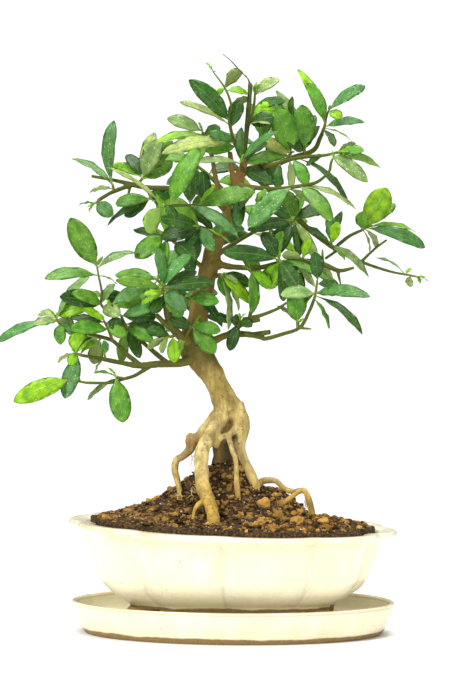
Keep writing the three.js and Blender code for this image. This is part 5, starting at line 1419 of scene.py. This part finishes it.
FRONT = Matrix.Rotation(TREE_TURN, 3, "Z") @ Vector((0, -1, 0))
VECTORS = ("leaf_base", "leaf_reach", "leaf_side", "leaf_up", "leaf_tint")
SCALARS = ("leaf_half", "leaf_length", "leaf_arch", "leaf_fold", "leaf_phase", "leaf_twist", "leaf_dust")


def leaf_points(leaves, stem, lean, chance):
    """A point for each leaf, holding where it starts, its three directions and its look."""
    columns = {name: [] for name in (*VECTORS, *SCALARS)}
    for share, x, y, z, width, turn, tone in leaves:
        base = along_stem(stem, share, lean)
        forward = stood((x, y, z), lean) - base
        axis = forward.normalized()
        facing = (FRONT - axis * FRONT.dot(axis)).normalized()
        lifted = axis.cross(facing)
        lifted = -lifted if lifted.z < 0 else lifted
        angle = math.radians(turn)
        up = facing * math.cos(angle) + lifted * math.sin(angle)
        tint, dust = LEAF_TONES[tone]
        warmth, light = chance.normal(0, 0.10), 1 + chance.normal(0, 0.12)
        tint = (tint[0] * light * (1 + warmth), tint[1] * light, tint[2] * light * (1 - warmth))
        values = (
            base, forward, up.cross(axis), up, tint, width / 2 * MM, forward.length,
            chance.uniform(0.7, 1.3), chance.uniform(-0.10, 0.30), chance.uniform(0, 6.28),
            chance.uniform(-0.5, 0.5), dust * chance.uniform(0.5, 1.2),
        )
        for name, value in zip(columns, values):
            columns[name].append(tuple(value) if name in VECTORS else value)
    mesh = bpy.data.meshes.new("leaf_points")
    mesh.from_pydata([(0, 0, 0)] * len(leaves), [], [])
    mesh.vertices.foreach_set("co", np.array(columns["leaf_base"], np.float32).ravel())
    for name, values in columns.items():
        kind, key = ("FLOAT_VECTOR", "vector") if name in VECTORS else ("FLOAT", "value")
        data = mesh.attributes.new(name, kind, "POINT").data
        data.foreach_set(key, np.array(values, np.float32).ravel())
    return mesh


leaf_skin = Finish("leathery_leaf", specular_ior_level=0.28)
along, across = leaf_skin.note("leaf_along"), leaf_skin.note("leaf_across")
under = leaf_skin.between(leaf_skin.note("leaf_skin"), -0.3, 0.0, 1.0, 0.0)
dust, tint = leaf_skin.note("leaf_dust"), leaf_skin.note("leaf_tint", "Vector")
mottling, speckle = leaf_skin.mottle(190, 4), leaf_skin.mottle(1500, 3)
dark = leaf_skin.mix(1.0, tint, (0.52, 0.60, 0.5), "MULTIPLY")
pale = leaf_skin.mix(1.0, tint, (1.30, 1.18, 1.1), "MULTIPLY")
colour = leaf_skin.mix(leaf_skin.between(mottling, 0.35, 0.65), dark, pale)
colour = leaf_skin.mix(leaf_skin.between(speckle, 0.5, 0.72) * 0.35, colour, dark)
slant = along * 11.0 - abs(across) * 2.4
comb = leaf_skin.sine(slant * 6.283)
veins = leaf_skin.between(comb, 0.86, 1.0) * leaf_skin.between(abs(across), 0.1, 0.9, 1.0, 0.3)
midrib = leaf_skin.between(abs(across), 0.03, 0.10, 1.0, 0.0)
rim = leaf_skin.between(abs(across), 0.93, 0.99)
light_green = leaf_skin.mix(0.4, colour, (0.34, 0.46, 0.10))
colour = leaf_skin.mix(veins * 0.16 + midrib * 0.45 + rim * 0.5, colour, light_green)
under_green = leaf_skin.mix(0.5, colour, (0.27, 0.37, 0.12))
colour = leaf_skin.mix(under, colour, under_green)
film = leaf_skin.between(leaf_skin.mottle(260, 5, rough=0.7), 0.42, 0.68) * dust
colour = leaf_skin.mix(film * 0.22, colour, (0.40, 0.48, 0.25))
spots = leaf_skin.between(leaf_skin.cells(520), 0.12, 0.22, 1.0, 0.0)
spots = spots * leaf_skin.between(mottling, 0.40, 0.48)
colour = leaf_skin.mix(spots * dust * (1 - under) * 0.85, colour, (0.78, 0.82, 0.70))
stalk = leaf_skin.between(along, 0.08, 0.14, 1.0, 0.0)
colour = leaf_skin.mix(stalk * 0.7, colour, (0.30, 0.40, 0.10))
leaf_skin.coloured(colour, 0.34 + under * 0.3 + film * 0.2 + speckle * 0.08)
leaf_skin.raised(mottling * 0.5 - midrib * 0.7 - veins * 0.25 + speckle * 0.1, 0.35)

LEAF_ARCH, LEAF_RIPPLE = 0.10, 0.0005
pattern_leaf = leaf_pattern()
chance = np.random.default_rng(12)
for node, (lean, stem, leaves) in SHOOTS.items():
    tip, before = np.array(stem[-1][:3], float), np.array(stem[-2][:3], float)
    out = (tip - before) / np.linalg.norm(tip - before)
    buds = []
    for _ in range(2):
        end = tip + out * chance.uniform(3, 6) + chance.normal(0, 2.2, 3)
        buds.append((1, *end, chance.uniform(1.6, 2.6), chance.uniform(20, 80), 2))
    points = leaf_points(leaves + buds, stem, lean, chance)
    leaf_mesh = unfold.run(node, points, {
        "Leaf": pattern_leaf, "Arch": LEAF_ARCH, "Ripple": LEAF_RIPPLE, "Material": leaf_skin.material,
    })
    place_piece(node + "_leaves", leaf_mesh, "leaf", node)
    values = {"Sides": 8, "Smoothness": 4, "Material": twig_bark.material}
    place_piece(node + "_twig", grow.run(node, limb_lines([stem], lean), values), "twig_bark")
bpy.data.objects.remove(pattern_leaf)

# ---- Table, light and camera ----
# The tree stands on a white table in front of white, under large soft lights.

TABLE_HALF = 0.55
table_mesh = bpy.data.meshes.new("white_table")
corners = [(x * TABLE_HALF, y * TABLE_HALF, 0) for x, y in ((-1, -1), (1, -1), (1, 1), (-1, 1))]
table_mesh.from_pydata(corners, [], [(0, 1, 2, 3)])
white_board = Finish("white_table", roughness=0.6, specular_ior_level=0.2)
white_board.coloured(white_board.mix(white_board.mottle(3), (0.93, 0.93, 0.93), (0.95, 0.95, 0.95)))
table_mesh.materials.append(white_board.material)
table = bpy.data.objects.new("white_table", table_mesh)
bpy.context.collection.objects.link(table)

SKY = 0.4                            # how much light comes evenly from all round
world = bpy.data.worlds.new("white_studio")
world.use_nodes = True
sky = Board(world.node_tree)
seen = sky.put("ShaderNodeLightPath")["Is Camera Ray"]
background = world.node_tree.nodes["Background"]
world.node_tree.links.new((seen * (1.1 - SKY) + SKY).socket, background.inputs["Strength"])
background.inputs["Color"].default_value = (1, 1, 1, 1)
bpy.context.scene.world = world


def softbox(name, place, aim, size, watts):
    light = bpy.data.lights.new(name, "AREA")
    light.energy, light.size = watts, size
    box = bpy.data.objects.new(name, light)
    box.location = place
    box.rotation_euler = (Vector(aim) - Vector(place)).to_track_quat("-Z", "Y").to_euler()
    bpy.context.collection.objects.link(box)


softbox("key_left", (-1.3, -1.5, 1.5), (0, 0, 0.2), 0.9, 43)
softbox("fill_right", (1.6, -1.1, 0.9), (0, 0, 0.2), 1.2, 10)
softbox("low_front", (0.3, -1.7, 0.25), (0, 0, 0.06), 0.8, 5)
softbox("top", (0.1, 0.2, 1.9), (0, 0, 0.2), 1.2, 38)

CAMERA_TURN = math.radians(6)
CAMERA_AWAY, CAMERA_HEIGHT = 2.0, 0.278
AIM_X, AIM_Z = -0.005, 0.1978
lens = bpy.data.cameras.new("camera")
lens.sensor_width = 36
lens.lens = 159.7
camera = bpy.data.objects.new("camera", lens)
across_view = Vector((math.cos(CAMERA_TURN), math.sin(CAMERA_TURN), 0))
aim = across_view * AIM_X + Vector((0, 0, AIM_Z))
back = Vector((math.sin(CAMERA_TURN), -math.cos(CAMERA_TURN), 0))
camera.location = across_view * AIM_X + back * CAMERA_AWAY + Vector((0, 0, CAMERA_HEIGHT))
camera.rotation_euler = (aim - camera.location).to_track_quat("-Z", "Y").to_euler()
bpy.context.collection.objects.link(camera)
bpy.context.scene.camera = camera
bpy.context.scene.view_settings.view_transform = "Standard"
